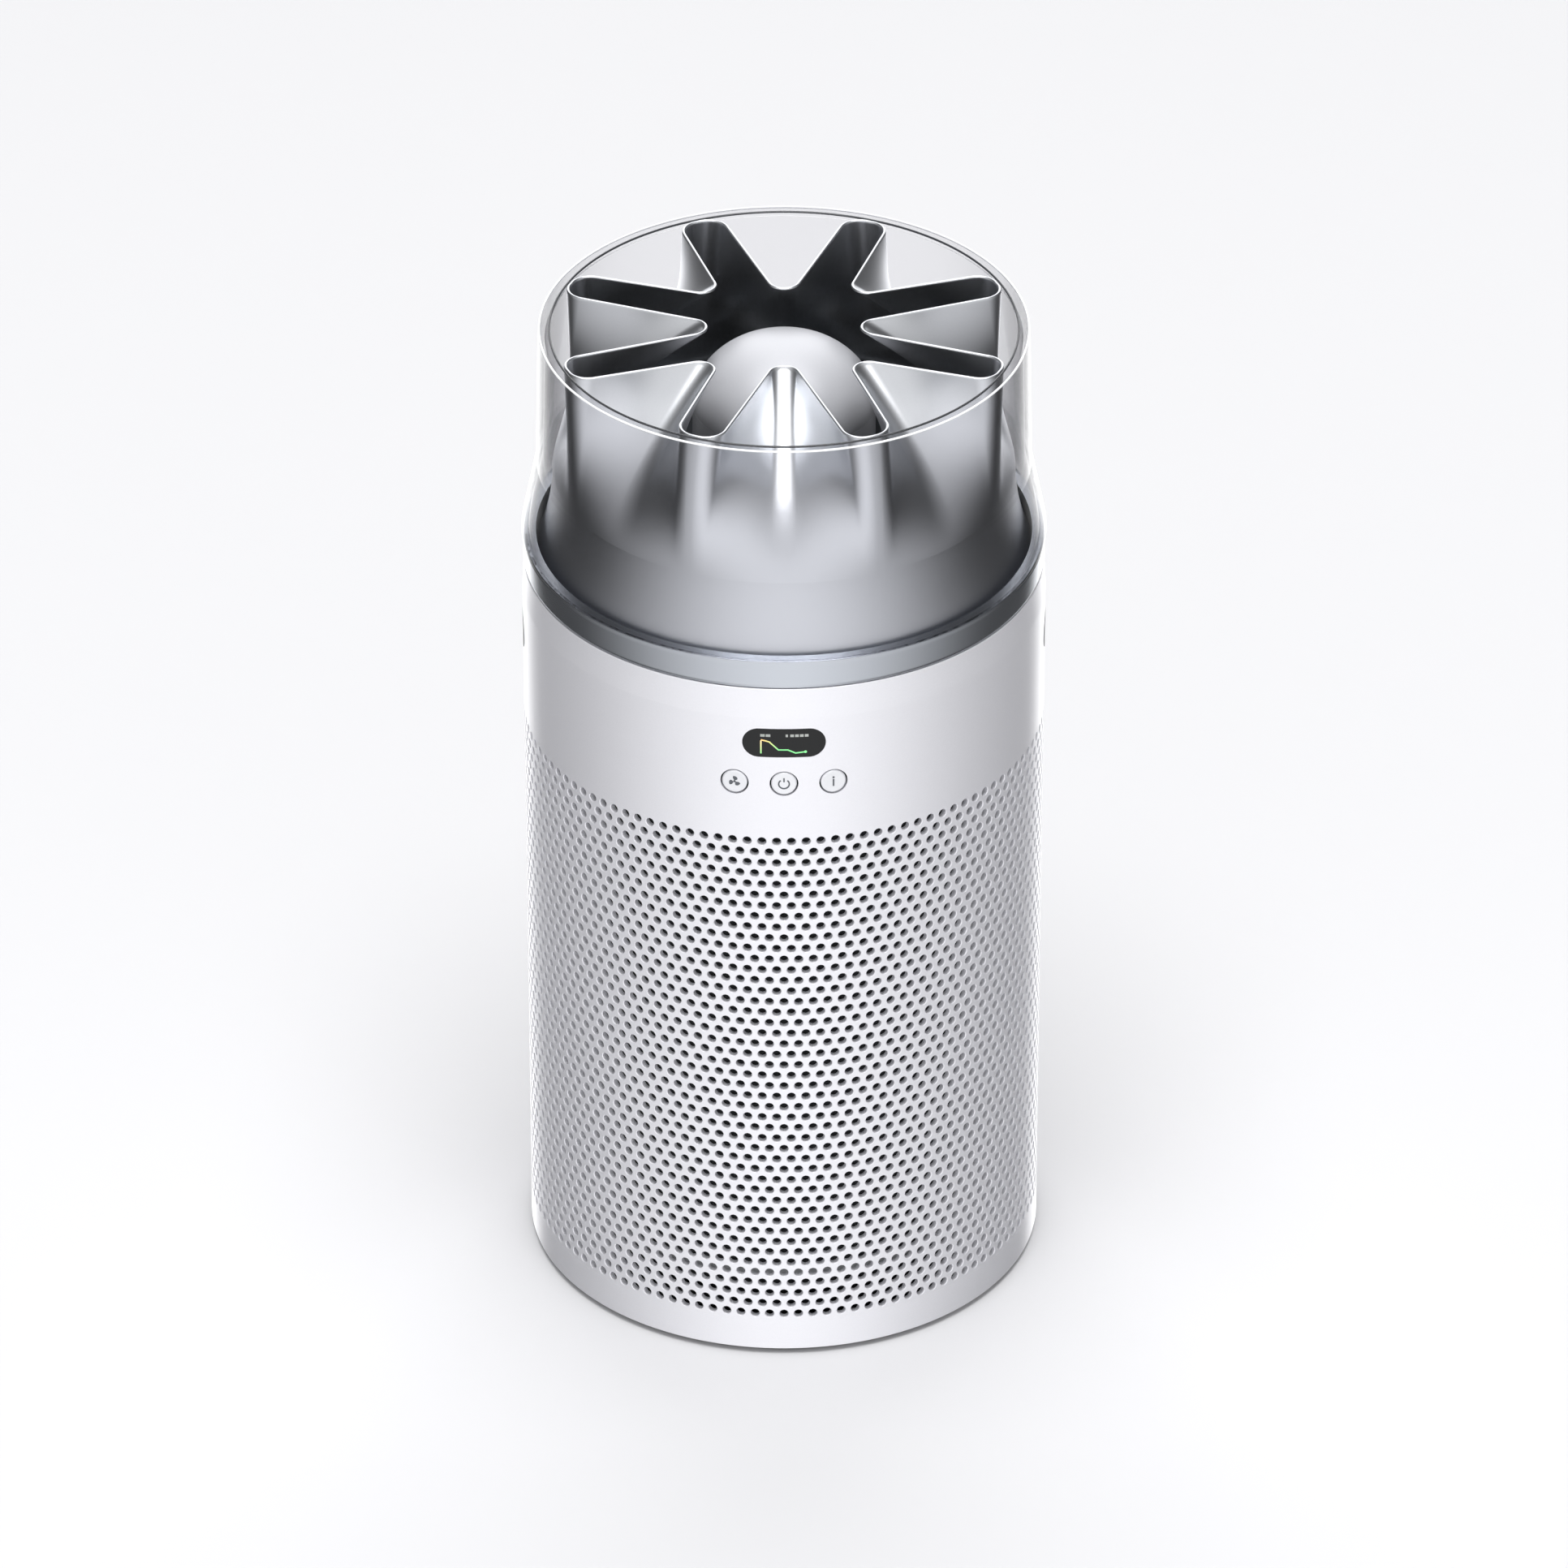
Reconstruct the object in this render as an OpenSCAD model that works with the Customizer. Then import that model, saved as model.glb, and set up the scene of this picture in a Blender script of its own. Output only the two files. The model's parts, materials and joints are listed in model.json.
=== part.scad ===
// Cylindrical air purifier: a perforated body that holds the filter, and a lift-off
// head that holds the fan, the fluted outlet nozzle and its clear shell.
// Millimetres. +Z is up, the front with the controls faces -Y, z = 0 is the floor.

/* [Body] */
// Outer radius of the body skin
body_r = 115; // [114:0.5:122]
// Height of the body skin's top edge
body_top = 349.5; // [346:0.5:360]
// Thickness of the body skin
skin_t = 2.6; // [2:0.2:3]
// Number of rubber feet
foot_count = 6; // [4:1:6]

/* [Controls] */
// Length of the display window, across the front
display_w = 36.2; // [30:0.2:40]
// Height of the display window
display_h = 14.5; // [12:0.5:16]
// Radius of the openings for the round buttons
button_hole_r = 6.25; // [5.5:0.05:6.5]
// Gap around each round button
button_gap = 0.6; // [0.4:0.1:0.8]
// Angle between neighbouring round buttons
button_step = 10.75; // [10:0.25:12]
// Travel of the round buttons
button_travel = 0.8; // [0.4:0.1:1]
// Travel of the side release buttons
release_travel = 2.5; // [1.5:0.1:2.5]

/* [Outlet] */
// Height of the nozzle rim above the floor
total_h = 464; // [460:1:480]
// Wall of the clear shell
clear_t = 2.8; // [2:0.2:3.2]
// Wall of the fluted nozzle
nozzle_t = 1.5; // [1.2:0.1:1.6]
// Radius of the wedge noses
nose_r = 7.5; // [6:0.25:8]
// Number of diffuser vanes
vane_count = 9; // [5:1:13]

/* [Fan] */
// Radius of the impeller
impeller_r = 66; // [58:1:70]
// Number of impeller blades
blade_count = 11; // [7:1:15]
// Radius of the motor shaft
shaft_r = 2.5; // [2:0.25:3]

/* [Filter] */
// Number of pleats in the filter media
pleat_count = 72; // [36:1:90]
// Turn that locks the filter in the head
twist_angle = 25; // [20:1:30]

/* [Hidden] */
$fn = 96;
gap = 0.3; // room between pieces that move past each other
running = 0.05; // radial clearance of a running fit
far = 2; // how far a cutter passes the face that it cuts

// Floor to base
foot_h = 1.4;
foot_circle_r = body_r - 19.5;
stem_r = 2.4;
base_top = 5;
base_r = body_r - 2.8;
skin_z = 2.8;
skin_in = body_r - skin_t;
flange_in = body_r - 12;
flange_t = 2;
screw_circle_r = body_r - 7.5;
screw_count = 6;
screw_start = 45;
screw_r = 1.6;
platform_z = 20;
platform_t = 2;
upstand_r = body_r - 13;
upstand_t = 2.5;
inlet_z = 12.2;
inlet_w = 22;
inlet_h = 10;
inlet_floor_r = body_r - 12.2;
pin_spacing = 8.6;

// Body to head
ring_in = body_r - 17.2;
ring_t = 3;
seat_z = body_top - 7.5;
taper_z = body_top - 14.5;
taper = 0.8;
duct_angle = 165;
dock_r = body_r - 8;

// Controls
button_z = body_top - 47.5;
display_z = body_top - 26.8;
board_y = body_r - 13.4;
board_t = 1.6;
board_front = board_y + board_t;
switch_tip = board_front + 3.8;
button_r = button_hole_r - button_gap;
release_z = body_top - 36.5;
release_w = 27;
release_h = 15;

// Head
plate_z = seat_z + 2.3;
plate_t = 3;
plate_top = plate_z + plate_t;
pivot_z = seat_z - 1;
pivot_r = ring_in - 3.6;
latch_w = 12;
latch_face = ring_in - 0.5;
housing_r = body_r - 29;
housing_t = 2.5;
head_screw_circle_r = housing_r + 2.7;
head_screw_start = 30;
head_screw_r = 1.25;
housing_z = body_top - 65.5;
collar_z = body_top + 0.4;
collar_top = body_top + 13.8;
knee_z = body_top + 49.5;
round_z = body_top + 45.5;
rim_r = body_r - 8.3;
lip_r = body_r - 13.5;
end_r = lip_r - gap - nozzle_t;
nacelle_r = 40;
nacelle_t = 2;
nacelle_z = plate_z - 8;
cover_z = round_z - 3;
dome_z = total_h - 38;
dome_h = 30;

// Fan
eye_r = 46;
motor_z = nacelle_z - 3;
tube_r = 5.5;
stator_r = 25.5;
rotor_r = 31;
rotor_top = motor_z + 35.5;
impeller_top = motor_z - 6;
impeller_z = housing_z + 9.5;

// Filter
filter_z = platform_z + 4;
socket_z = housing_z - 9.5;
cap_top = socket_z - 0.5;
cap_t = 3.5;
base_cap_t = 3;
lip_t = 1.2;
lip_h = 5;
neck_h = 5.5;
neck_r = 62;
core_r = 57;
filter_r = ring_in - 3.3;
lug_count = 3;
lug_half = 10;

// Ring between two radii and two heights
module ring(r_out, r_in, z0, z1) {
    difference() {
        translate([0, 0, z0])
            cylinder(r = r_out, h = z1 - z0);
        translate([0, 0, z0 - far])
            cylinder(r = r_in, h = z1 - z0 + 2 * far);
    }
}

// Places children so that their +Z points outward at an angle from the front
module facing(angle, z) {
    rotate([0, 0, angle])
        translate([0, 0, z])
            rotate([90, 0, 0])
                children();
}

// Repeats children evenly around the axis
module around(count, start = 0) {
    for (i = [0:count - 1])
        rotate([0, 0, start + i * 360 / count])
            children();
}

// Flat stadium, centred
module stadium(w, h) {
    square([w - h, h], center = true);
    for (side = [-1, 1])
        translate([side * (w - h) / 2, 0])
            circle(d = h);
}

// Wedge-shaped slice of the space around the axis
module slice(half_angle, r, z0, z1) {
    translate([0, 0, z0])
        linear_extrude(height = z1 - z0)
            polygon([[0, 0], [r, -r * tan(half_angle)], [r, r * tan(half_angle)]]);
}

module body_shell() {
    color("#dfe0e3")
    difference() {
        union() {
            rotate_extrude()
                polygon([[skin_in, skin_z], [body_r, skin_z], [body_r, taper_z],
                    [body_r - taper, body_top], [skin_in, body_top]]);
            ring(skin_in, flange_in, base_top, base_top + flange_t);
        }
        around(screw_count, screw_start)
            translate([screw_circle_r, 0, base_top - far])
                cylinder(r = screw_r, h = flange_t + 2 * far);
        facing(0, display_z)
            linear_extrude(height = body_r + far)
                stadium(display_w, display_h);
        for (i = [-1:1])
            facing(i * button_step, button_z)
                cylinder(r = button_hole_r, h = body_r + far);
        for (side = [-90, 90])
            facing(side, release_z)
                linear_extrude(height = body_r + far)
                    stadium(release_w, release_h);
        facing(180, inlet_z)
            translate([0, 0, body_r - 10])
                linear_extrude(height = 10 + far)
                    square([inlet_w, inlet_h], center = true);
    }
}

module base_plate() {
    through = base_top - foot_h + 2 * far;
    color("#1c1d20")
    difference() {
        union() {
            translate([0, 0, foot_h])
                cylinder(r = base_r, h = base_top - foot_h);
            ring(upstand_r, upstand_r - upstand_t, base_top, platform_z);
            for (x = [-48, 48])
                for (y = [-28, 28])
                    translate([x, y, base_top])
                        cylinder(r = 3, h = 4);
        }
        around(foot_count)
            translate([foot_circle_r, 0, foot_h - far])
                cylinder(r = stem_r, h = through);
        around(screw_count, screw_start)
            translate([screw_circle_r, 0, foot_h - far]) {
                cylinder(r = screw_r + 0.2, h = through);
                cylinder(r = 3.3, h = far + 2);
            }
        facing(180, inlet_z)
            translate([0, 0, upstand_r - 10])
                linear_extrude(height = 10 + far)
                    square([inlet_w + gap, inlet_h + 1], center = true);
    }
}

module rubber_feet() {
    color("#151515")
    around(foot_count)
        translate([foot_circle_r, 0, 0]) {
            cylinder(r = 7, h = foot_h);
            translate([0, 0, foot_h])
                cylinder(r = stem_r, h = base_top - foot_h);
            translate([0, 0, base_top])
                cylinder(r = stem_r + 1, h = 1.4);
        }
}

// Screws of the base plate
module base_screw_set() {
    color("#8b8e94")
    around(screw_count, screw_start)
        translate([screw_circle_r, 0, foot_h + 0.4]) {
            cylinder(r = 3, h = 1.6);
            cylinder(r = screw_r, h = 8);
        }
}

module filter_platform() {
    color("#2a2b2f") {
        translate([0, 0, platform_z])
            cylinder(r = upstand_r, h = platform_t);
        ring(filter_r + 3.5, filter_r + 1.5, platform_z + platform_t, platform_z + 8);
    }
}

module power_inlet() {
    color("#18191b")
    difference() {
        union() {
            facing(180, inlet_z)
                translate([0, 0, body_r - 19])
                    linear_extrude(height = 16)
                        square([inlet_w - gap, inlet_h - gap], center = true);
            intersection() {
                facing(180, inlet_z)
                    linear_extrude(height = body_r + far)
                        square([inlet_w - 0.6, inlet_h - 0.6], center = true);
                ring(body_r - 0.4, body_r - 4, 0, 30);
            }
        }
        facing(180, inlet_z)
            translate([0, 0, inlet_floor_r])
                linear_extrude(height = 14 + far)
                    stadium(16, 8.2);
    }
}

module inlet_pins() {
    color("#c9cbd0")
    for (side = [-1, 1])
        facing(180, inlet_z)
            translate([side * pin_spacing / 2, 0, inlet_floor_r])
                cylinder(r = 1.2, h = 9.5);
}

module power_board() {
    color("#1f6b3a")
    translate([-54, -34, base_top + 4])
        cube([108, 68, board_t]);
}

// Transformer, capacitors and connector of the power board
module power_board_parts() {
    top = base_top + 4 + board_t;
    color("#c8a23a")
        translate([-30, -15, top])
            cube([28, 26, 8.4]);
    color("#30343a") {
        for (i = [0:2])
            translate([16 + 13 * i, -20, top])
                cylinder(r = 5, h = 8.2);
        translate([10, 2, top])
            cube([24, 10, 7.5]);
    }
    color("#d9d9d2")
        translate([-50, 14, top])
            cube([14, 16, 8]);
    color("#9a9da3")
        for (x = [-48, 48])
            for (y = [-28, 28])
                translate([x, y, top])
                    cylinder(r = 2.6, h = 1.8);
}

module wiring_duct() {
    foot_z = base_top + flange_t + 1;
    color("#3a3c40")
    rotate([0, 0, duct_angle])
        translate([0, -dock_r, foot_z])
            linear_extrude(height = seat_z - ring_t - foot_z)
                difference() {
                    square([12, 7.6], center = true);
                    square([9.6, 5.2], center = true);
                }
}

module body_wires() {
    color("#c23b2e")
    for (i = [-1:1])
        rotate([0, 0, duct_angle])
            translate([i * 2.8, -dock_r, 12])
                cylinder(r = 1.2, h = seat_z - 12);
}

module frame_ring() {
    color("#55585e")
    difference() {
        ring(skin_in, ring_in, seat_z - ring_t, seat_z);
        rotate([0, 0, duct_angle])
            translate([0, -dock_r, seat_z - ring_t - far])
                linear_extrude(height = ring_t + 2 * far)
                    square([9, 4], center = true);
    }
}

module dock_contacts() {
    color("#26282c")
    rotate([0, 0, duct_angle])
        translate([-13, -dock_r - 2.6, seat_z])
            cube([26, 5.2, 1.1]);
    color("#d8b25a")
    for (i = [-1.5:1:1.5])
        rotate([0, 0, duct_angle])
            translate([i * 6, -dock_r, seat_z + 1.1])
                cylinder(r = 1.2, h = 0.5);
}

module display_lens() {
    color("#0c1114")
    intersection() {
        ring(body_r, body_r - 2.2, display_z - display_h, display_z + display_h);
        facing(0, display_z)
            linear_extrude(height = body_r + far)
                stadium(display_w - 0.4, display_h - 0.4);
    }
}

module display_module() {
    color("#22262b") {
        translate([-18.5, -(board_front + 7), display_z - 8])
            cube([37, 4.4, 16]);
        translate([-14, -(board_front + 2.6), display_z + 3])
            cube([28, 2.6, 3]);
    }
}

module control_board() {
    color("#1f6b3a")
    difference() {
        translate([-42, -board_front, button_z - 10])
            cube([84, board_t, 45]);
        control_screw_places()
            cylinder(r = 1.5, h = 20, center = true);
    }
}

// The four fixing points of the control board
module control_screw_places() {
    for (x = [-37, 37])
        for (z = [button_z - 6, button_z + 31])
            translate([x, -board_y, z])
                rotate([90, 0, 0])
                    children();
}

module control_bracket() {
    color("#3a3c40")
    difference() {
        translate([-46, -board_y, button_z - 12])
            cube([92, 2, seat_z - ring_t - button_z + 12]);
        control_screw_places()
            cylinder(r = 1.25, h = 20, center = true);
    }
}

// Screws of the control board
module control_screw_set() {
    color("#8b8e94")
    control_screw_places() {
        translate([0, 0, board_t])
            cylinder(r = 2.6, h = 1.6);
        translate([0, 0, -1.8])
            cylinder(r = 1.25, h = board_t + 1.8);
    }
}

module body_screws() {
    base_screw_set();
    control_screw_set();
}

// Switches behind the three round buttons
module tact_switches() {
    for (i = [-1:1])
        translate([switch_tip * tan(i * button_step), -board_front, button_z])
            rotate([90, 0, 0]) {
                color("#2a2c30")
                    translate([-3, -3, 0])
                        cube([6, 6, 3]);
                color("#c9cbd0")
                    translate([0, 0, 3])
                        cylinder(r = 1.6, h = switch_tip - board_front - 3);
            }
}

module board_components() {
    power_board_parts();
    tact_switches();
}

module air_quality_sensor() {
    color("#2d3034")
    rotate([0, 0, 50])
        difference() {
            translate([-19, -(body_r - 5), button_z - 12])
                cube([38, 11, 44]);
            translate([-9, -(body_r + far), button_z - 4])
                cube([6, 8, 28]);
        }
}

// Slide in the body that guides one release button's stem
module release_guide(side) {
    color("#3a3c40")
    facing(side, release_z)
        translate([0, 0, ring_in + 0.8])
            linear_extrude(height = 2.2)
                difference() {
                    square([34, 22], center = true);
                    square([10.6, 8.6], center = true);
                }
}

module release_guides() {
    for (side = [-90, 90]) {
        release_guide(side);
        color("#3a3c40")
        facing(side, release_z)
            for (edge = [-15.5, 15.5])
                translate([edge - 1.5, -11, ring_in + 3])
                    cube([3, 22, 8]);
    }
}

// Round push button with its cap flush with the skin, at an angle from the front
module push_button(angle) {
    stem_end = (switch_tip + button_travel + 0.2 + 2 * abs(sin(angle))) / cos(angle);
    color("#e6e7ea") {
        intersection() {
            facing(angle, button_z)
                cylinder(r = button_r, h = body_r + far);
            ring(body_r, body_r - 3.4, button_z - 10, button_z + 10);
        }
        facing(angle, button_z) {
            translate([0, 0, body_r - 4.4])
                cylinder(r = button_r + 1.9, h = 1.3);
            translate([0, 0, stem_end])
                cylinder(r = 2, h = body_r - 4 - stem_end);
        }
    }
}

module fan_button() {
    push_button(-button_step);
}

module power_button() {
    push_button(0);
}

module info_button() {
    push_button(button_step);
}

// Side button: cap in the skin, stem through its guide, round nose at the latch
module release_button(side) {
    nose_x = latch_face + gap + 2;
    color("#3b3f45") {
        intersection() {
            facing(side, release_z)
                linear_extrude(height = body_r + far)
                    stadium(release_w - 0.8, release_h - 0.8);
            ring(body_r + 0.2, body_r - 4, 0, body_top);
        }
        facing(side, release_z) {
            translate([0, 0, nose_x])
                linear_extrude(height = body_r - 5 - nose_x)
                    square([10, 8], center = true);
            translate([0, 0, nose_x])
                rotate([0, 90, 0])
                    cylinder(r = 2, h = 10, center = true);
            translate([0, 0, body_r - 6.4])
                linear_extrude(height = 2.7)
                    square([20, 12], center = true);
            translate([0, 0, ring_in + 3.1 + release_travel])
                linear_extrude(height = 1.2)
                    square([12.4, 10], center = true);
        }
    }
}

module release_button_left() {
    release_button(-90);
}

module release_button_right() {
    release_button(90);
}

// Return spring around a release button's stem, as closed turns at pressed length
module release_spring(side) {
    color("#b9bcc2")
    facing(side, release_z)
        for (i = [0:3])
            translate([0, 0, body_r - 7 - 0.8 * i])
                rotate_extrude()
                    translate([7.4, 0])
                        circle(r = 0.4, $fn = 24);
}

module release_spring_left() {
    release_spring(-90);
}

module release_spring_right() {
    release_spring(90);
}

// Hooked arm that hangs from the head plate on a pin
module latch(side) {
    color("#6a6e75")
    rotate([0, 0, side])
        difference() {
            union() {
                translate([-latch_w / 2, -pivot_r, pivot_z])
                    rotate([0, 90, 0])
                        cylinder(r = 2.9, h = latch_w);
                translate([-latch_w / 2, -latch_face, release_z - 7])
                    cube([latch_w, 2.4, pivot_z - release_z + 7]);
                translate([-latch_w / 2, -latch_face, release_z - 7])
                    cube([latch_w, 5, 2.4]);
            }
            translate([-latch_w, -pivot_r, pivot_z])
                rotate([0, 90, 0])
                    cylinder(r = 1.5 + running, h = 2 * latch_w);
        }
}

module latch_left() {
    latch(-90);
}

module latch_right() {
    latch(90);
}

module latch_pins() {
    color("#b9bcc2")
    for (side = [-90, 90])
        rotate([0, 0, side])
            translate([-latch_w / 2 - 2.3, -pivot_r, pivot_z])
                rotate([0, 90, 0])
                    cylinder(r = 1.5, h = latch_w + 4.6);
}

module head_plate() {
    color("#4a4d53")
    difference() {
        union() {
            ring(body_r - 3.8, housing_r - 2, plate_z, plate_top);
            for (side = [-90, 90])
                rotate([0, 0, side])
                    for (edge = [-1, 1])
                        translate([edge * (latch_w / 2 + 1.3) - 1, -pivot_r - 3, pivot_z - 3])
                            cube([2, 6, plate_z - pivot_z + 3]);
        }
        for (side = [-90, 90])
            rotate([0, 0, side])
                translate([-latch_w, -pivot_r, pivot_z])
                    rotate([0, 90, 0])
                        cylinder(r = 1.5, h = 2 * latch_w);
        around(screw_count, head_screw_start)
            translate([head_screw_circle_r, 0, plate_z - far])
                cylinder(r = head_screw_r, h = plate_t + 2 * far);
    }
}

module head_gasket() {
    color("#1a1a1a")
    ring(ring_in + 5, ring_in + 1, seat_z + gap, plate_z);
}

module head_contacts() {
    color("#d8b25a")
    for (i = [-1.5:1:1.5])
        rotate([0, 0, duct_angle])
            translate([i * 6, -dock_r, seat_z + 2])
                cylinder(r = 1.6, h = plate_z - seat_z - 2);
}

module head_screws() {
    color("#8b8e94")
    around(screw_count, head_screw_start)
        translate([head_screw_circle_r, 0, plate_z - 4.3]) {
            cylinder(r = 2.2, h = 1.8);
            cylinder(r = head_screw_r, h = 7);
        }
}

module collar_ring() {
    inner = body_r - 6.2;
    skirt = body_r - 3.8;
    face = body_r - 0.6;
    color("#8f959c")
    rotate_extrude()
        polygon([[inner, plate_top], [skirt, plate_top], [skirt, collar_z],
            [face - 0.6, collar_z], [face, collar_z + 1.6], [face, collar_top - 1.6],
            [face - 0.5, collar_top], [inner, collar_top]]);
}

module clear_shell() {
    foot_z = collar_top + 2.6;
    knee_r = body_r - 6.8;
    color("#dfe6ea", 0.35)
    rotate_extrude()
        polygon([[body_r - clear_t, collar_top], [body_r, collar_top], [body_r, foot_z],
            [knee_r, knee_z], [rim_r, total_h], [lip_r, total_h], [lip_r, total_h - 2.4],
            [rim_r - clear_t, total_h - 3.4], [knee_r - clear_t, knee_z],
            [body_r - clear_t, foot_z]]);
}

// Centre of a fillet that touches a flank line and, from inside, the circle of the channel ends
// start: the line's start, angle: its direction, side: which side the fillet is on
function fillet_centre(start, angle, side, r) =
    let (dir = [cos(angle), sin(angle)],
        base = start + side * r * [-dir.y, dir.x],
        along = base * dir,
        reach = (end_r - r) * (end_r - r) - base * base + along * along)
    base + dir * (sqrt(reach) - along);

// Points of an arc
function arc(centre, r, from, to, steps) =
    [for (i = [0:steps]) centre + r * [cos(from + (to - from) * i / steps),
        sin(from + (to - from) * i / steps)]];

// Straight run between two points, without its ends
function run(a, b, steps) = [for (i = [1:steps - 1]) a + (b - a) * i / steps];

// One eighth of the star outline: square-on wedge nose, channel end, diagonal wedge nose.
// grow moves it outward through the wall
flank_a = 20.4;
flank_b = 17.5;
corner_r = 8;
nose_a = [19 + nose_r / sin(flank_a), 0];
nose_b = (35.7 + nose_r / sin(45 - flank_b)) * [cos(45), sin(45)];
corner_a = fillet_centre([19, 0], flank_a, 1, corner_r);
corner_b = fillet_centre(35.7 * [cos(45), sin(45)], flank_b, -1, corner_r);
function heading(p) = atan2(p.y, p.x);
function eighth(grow) =
    let (first = arc(nose_a, nose_r - grow, 180, 90 + flank_a, 4),
        turn_a = arc(corner_a, corner_r + grow, flank_a - 90, heading(corner_a), 4),
        turn_b = arc(corner_b, corner_r + grow, heading(corner_b), flank_b + 90, 4),
        last = arc(nose_b, nose_r - grow, flank_b - 90, -135, 4))
    concat(first, run(first[4], turn_a[0], 4), turn_a, turn_b, run(turn_b[4], last[0], 3), last);

// How far along the outline each point lies, from 0 to 1
function lengths(p, i = 0, sum = 0, out = []) =
    i == len(p) ? out / sum
    : let (more = i == 0 ? 0 : norm(p[i] - p[i - 1]))
        lengths(p, i + 1, sum + more, concat(out, sum + more));

half_a = eighth(0);
half_b = eighth(nozzle_t);
shares = lengths(half_a);
half_n = len(half_a) - 1;

// Point turned about the axis by quarter turns
function quarter_turn(p, q) =
    [p.x * cos(90 * q) - p.y * sin(90 * q), p.x * sin(90 * q) + p.y * cos(90 * q)];

// One level of the nozzle: the star blended into a circle by s
function level(half, r, s) =
    let (part = [for (i = [0:half_n])
            (1 - s) * half[i] + s * r * [cos(45 * shares[i]), sin(45 * shares[i])]],
        back = [for (i = [1:half_n - 1]) [part[half_n - i].y, part[half_n - i].x]])
    [for (q = [0:3]) for (p = concat(part, back)) quarter_turn(p, q)];

module star_nozzle() {
    levels = 14;
    n = 8 * half_n;
    depth = total_h - round_z;
    // walls of both faces, from the rim down
    points = [for (wall = [0, 1]) for (k = [0:levels])
        let (u = pow(k / levels, 1.25),
            s = 1 - pow(1 - u, 1.5),
            outline = wall == 0 ? level(half_a, end_r, s) : level(half_b, end_r + nozzle_t, s))
        for (p = outline) [p.x, p.y, total_h - depth * u]];
    inner = [for (k = [0:levels - 1]) for (i = [0:n - 1])
        let (a = k * n + i, b = k * n + (i + 1) % n, c = a + n, d = b + n)
        each [[a, c, b], [b, c, d]]];
    shift = (levels + 1) * n;
    outer = [for (f = inner) [f[0] + shift, f[2] + shift, f[1] + shift]];
    top = [for (i = [0:n - 1]) let (a = i, b = (i + 1) % n)
        each [[a, b, a + shift], [b, b + shift, a + shift]]];
    last = levels * n;
    bottom = [for (f = top) [f[0] + last, f[2] + last, f[1] + last]];
    color("#8a8e94")
    polyhedron(points = points, faces = concat(inner, outer, top, bottom));
}

module nozzle_base() {
    steps = 8;
    flare = body_r - 107.7;
    foot_z = body_top + 5.5;
    inner = [for (i = [0:steps])
        [end_r + flare * pow(i / steps, 2), round_z - (round_z - foot_z) * i / steps]];
    outer = [for (i = [steps:-1:0]) inner[i] + [nozzle_t, 0]];
    color("#84888e")
    rotate_extrude()
        polygon(concat(inner,
            [[end_r + flare, plate_top], [end_r + flare + nozzle_t, plate_top]], outer));
}

module diffuser() {
    ring_r = end_r - 2;
    color("#3c3f44") {
        ring(ring_r, ring_r - 2, plate_top, cover_z);
        ring(nacelle_r, nacelle_r - nacelle_t, nacelle_z, cover_z);
        ring(nacelle_r, nacelle_r - 8, nacelle_z, nacelle_z + 2.5);
        intersection() {
            around(vane_count)
                translate([nacelle_r - 1, 0, (plate_top + cover_z) / 2])
                    rotate([25, 0, 0])
                        translate([0, -1.2, -18])
                            cube([ring_r - nacelle_r, 2.4, 36]);
            ring(ring_r - 1, nacelle_r - 1, plate_top, cover_z);
        }
    }
}

module motor_cover() {
    color("#b9bdc3")
    ring(nacelle_r, nacelle_r - nacelle_t, cover_z, dome_z);
}

// Quarter of an ellipse from the rim of the dome to its top
function dome_curve(r, h) =
    let (steps = 14)
    [for (i = [0:steps]) [r * cos(90 * i / steps), dome_z + h * sin(90 * i / steps)]];

module centre_dome() {
    outer = dome_curve(nacelle_r, dome_h);
    inner = dome_curve(nacelle_r - nacelle_t, dome_h - nacelle_t);
    last = len(inner) - 1;
    color("#e4e5e8")
    rotate_extrude()
        polygon(concat(outer, [for (i = [last:-1:0]) inner[i]]));
}

module motor_housing() {
    color("#33363b") {
        ring(housing_r, housing_r - housing_t, housing_z, plate_z);
        ring(housing_r, 70, housing_z, housing_z + 2.5);
        difference() {
            ring(housing_r + 5, housing_r - housing_t, plate_z - 2.5, plate_z);
            around(screw_count, head_screw_start)
                translate([head_screw_circle_r, 0, plate_z - 5])
                    cylinder(r = head_screw_r + 0.15, h = 10);
        }
    }
}

module inlet_ring() {
    under = housing_z - 2.5;
    wall = neck_r + 5.2;
    ledge = neck_r + 0.4;
    ledge_top = socket_z + 1.2;
    color("#45484e")
    difference() {
        rotate_extrude()
            polygon([[eye_r, under], [eye_r, housing_z + 7], [eye_r + 2, housing_z + 7],
                [eye_r + 2, housing_z], [housing_r, housing_z], [housing_r, under],
                [wall + 2.8, under], [wall + 2.8, socket_z], [ledge, socket_z],
                [ledge, ledge_top], [wall, ledge_top], [wall, under]]);
        around(lug_count, twist_angle)
            intersection() {
                slice(lug_half + 2, neck_r + 20, socket_z - far, ledge_top + far);
                ring(wall - 0.3, neck_r - far, socket_z - far, ledge_top + far);
            }
    }
}

module motor_plate() {
    color("#a4a8ae")
    difference() {
        union() {
            ring(nacelle_r - 4, tube_r, motor_z, motor_z + 2);
            ring(tube_r + 2.5, tube_r, motor_z + 2, motor_z + 28);
        }
        around(4)
            translate([nacelle_r - 7, 0, motor_z - far])
                cylinder(r = 1.6, h = 2 + 2 * far);
    }
}

module motor_mounts() {
    color("#1a1a1a")
    around(4)
        translate([nacelle_r - 7, 0, 0]) {
            translate([0, 0, motor_z])
                cylinder(r = 1.6, h = 2);
            translate([0, 0, motor_z - 1.4])
                cylinder(r = 2.6, h = 1.4);
            translate([0, 0, motor_z + 2])
                cylinder(r = 2.6, h = 1);
        }
}

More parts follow.
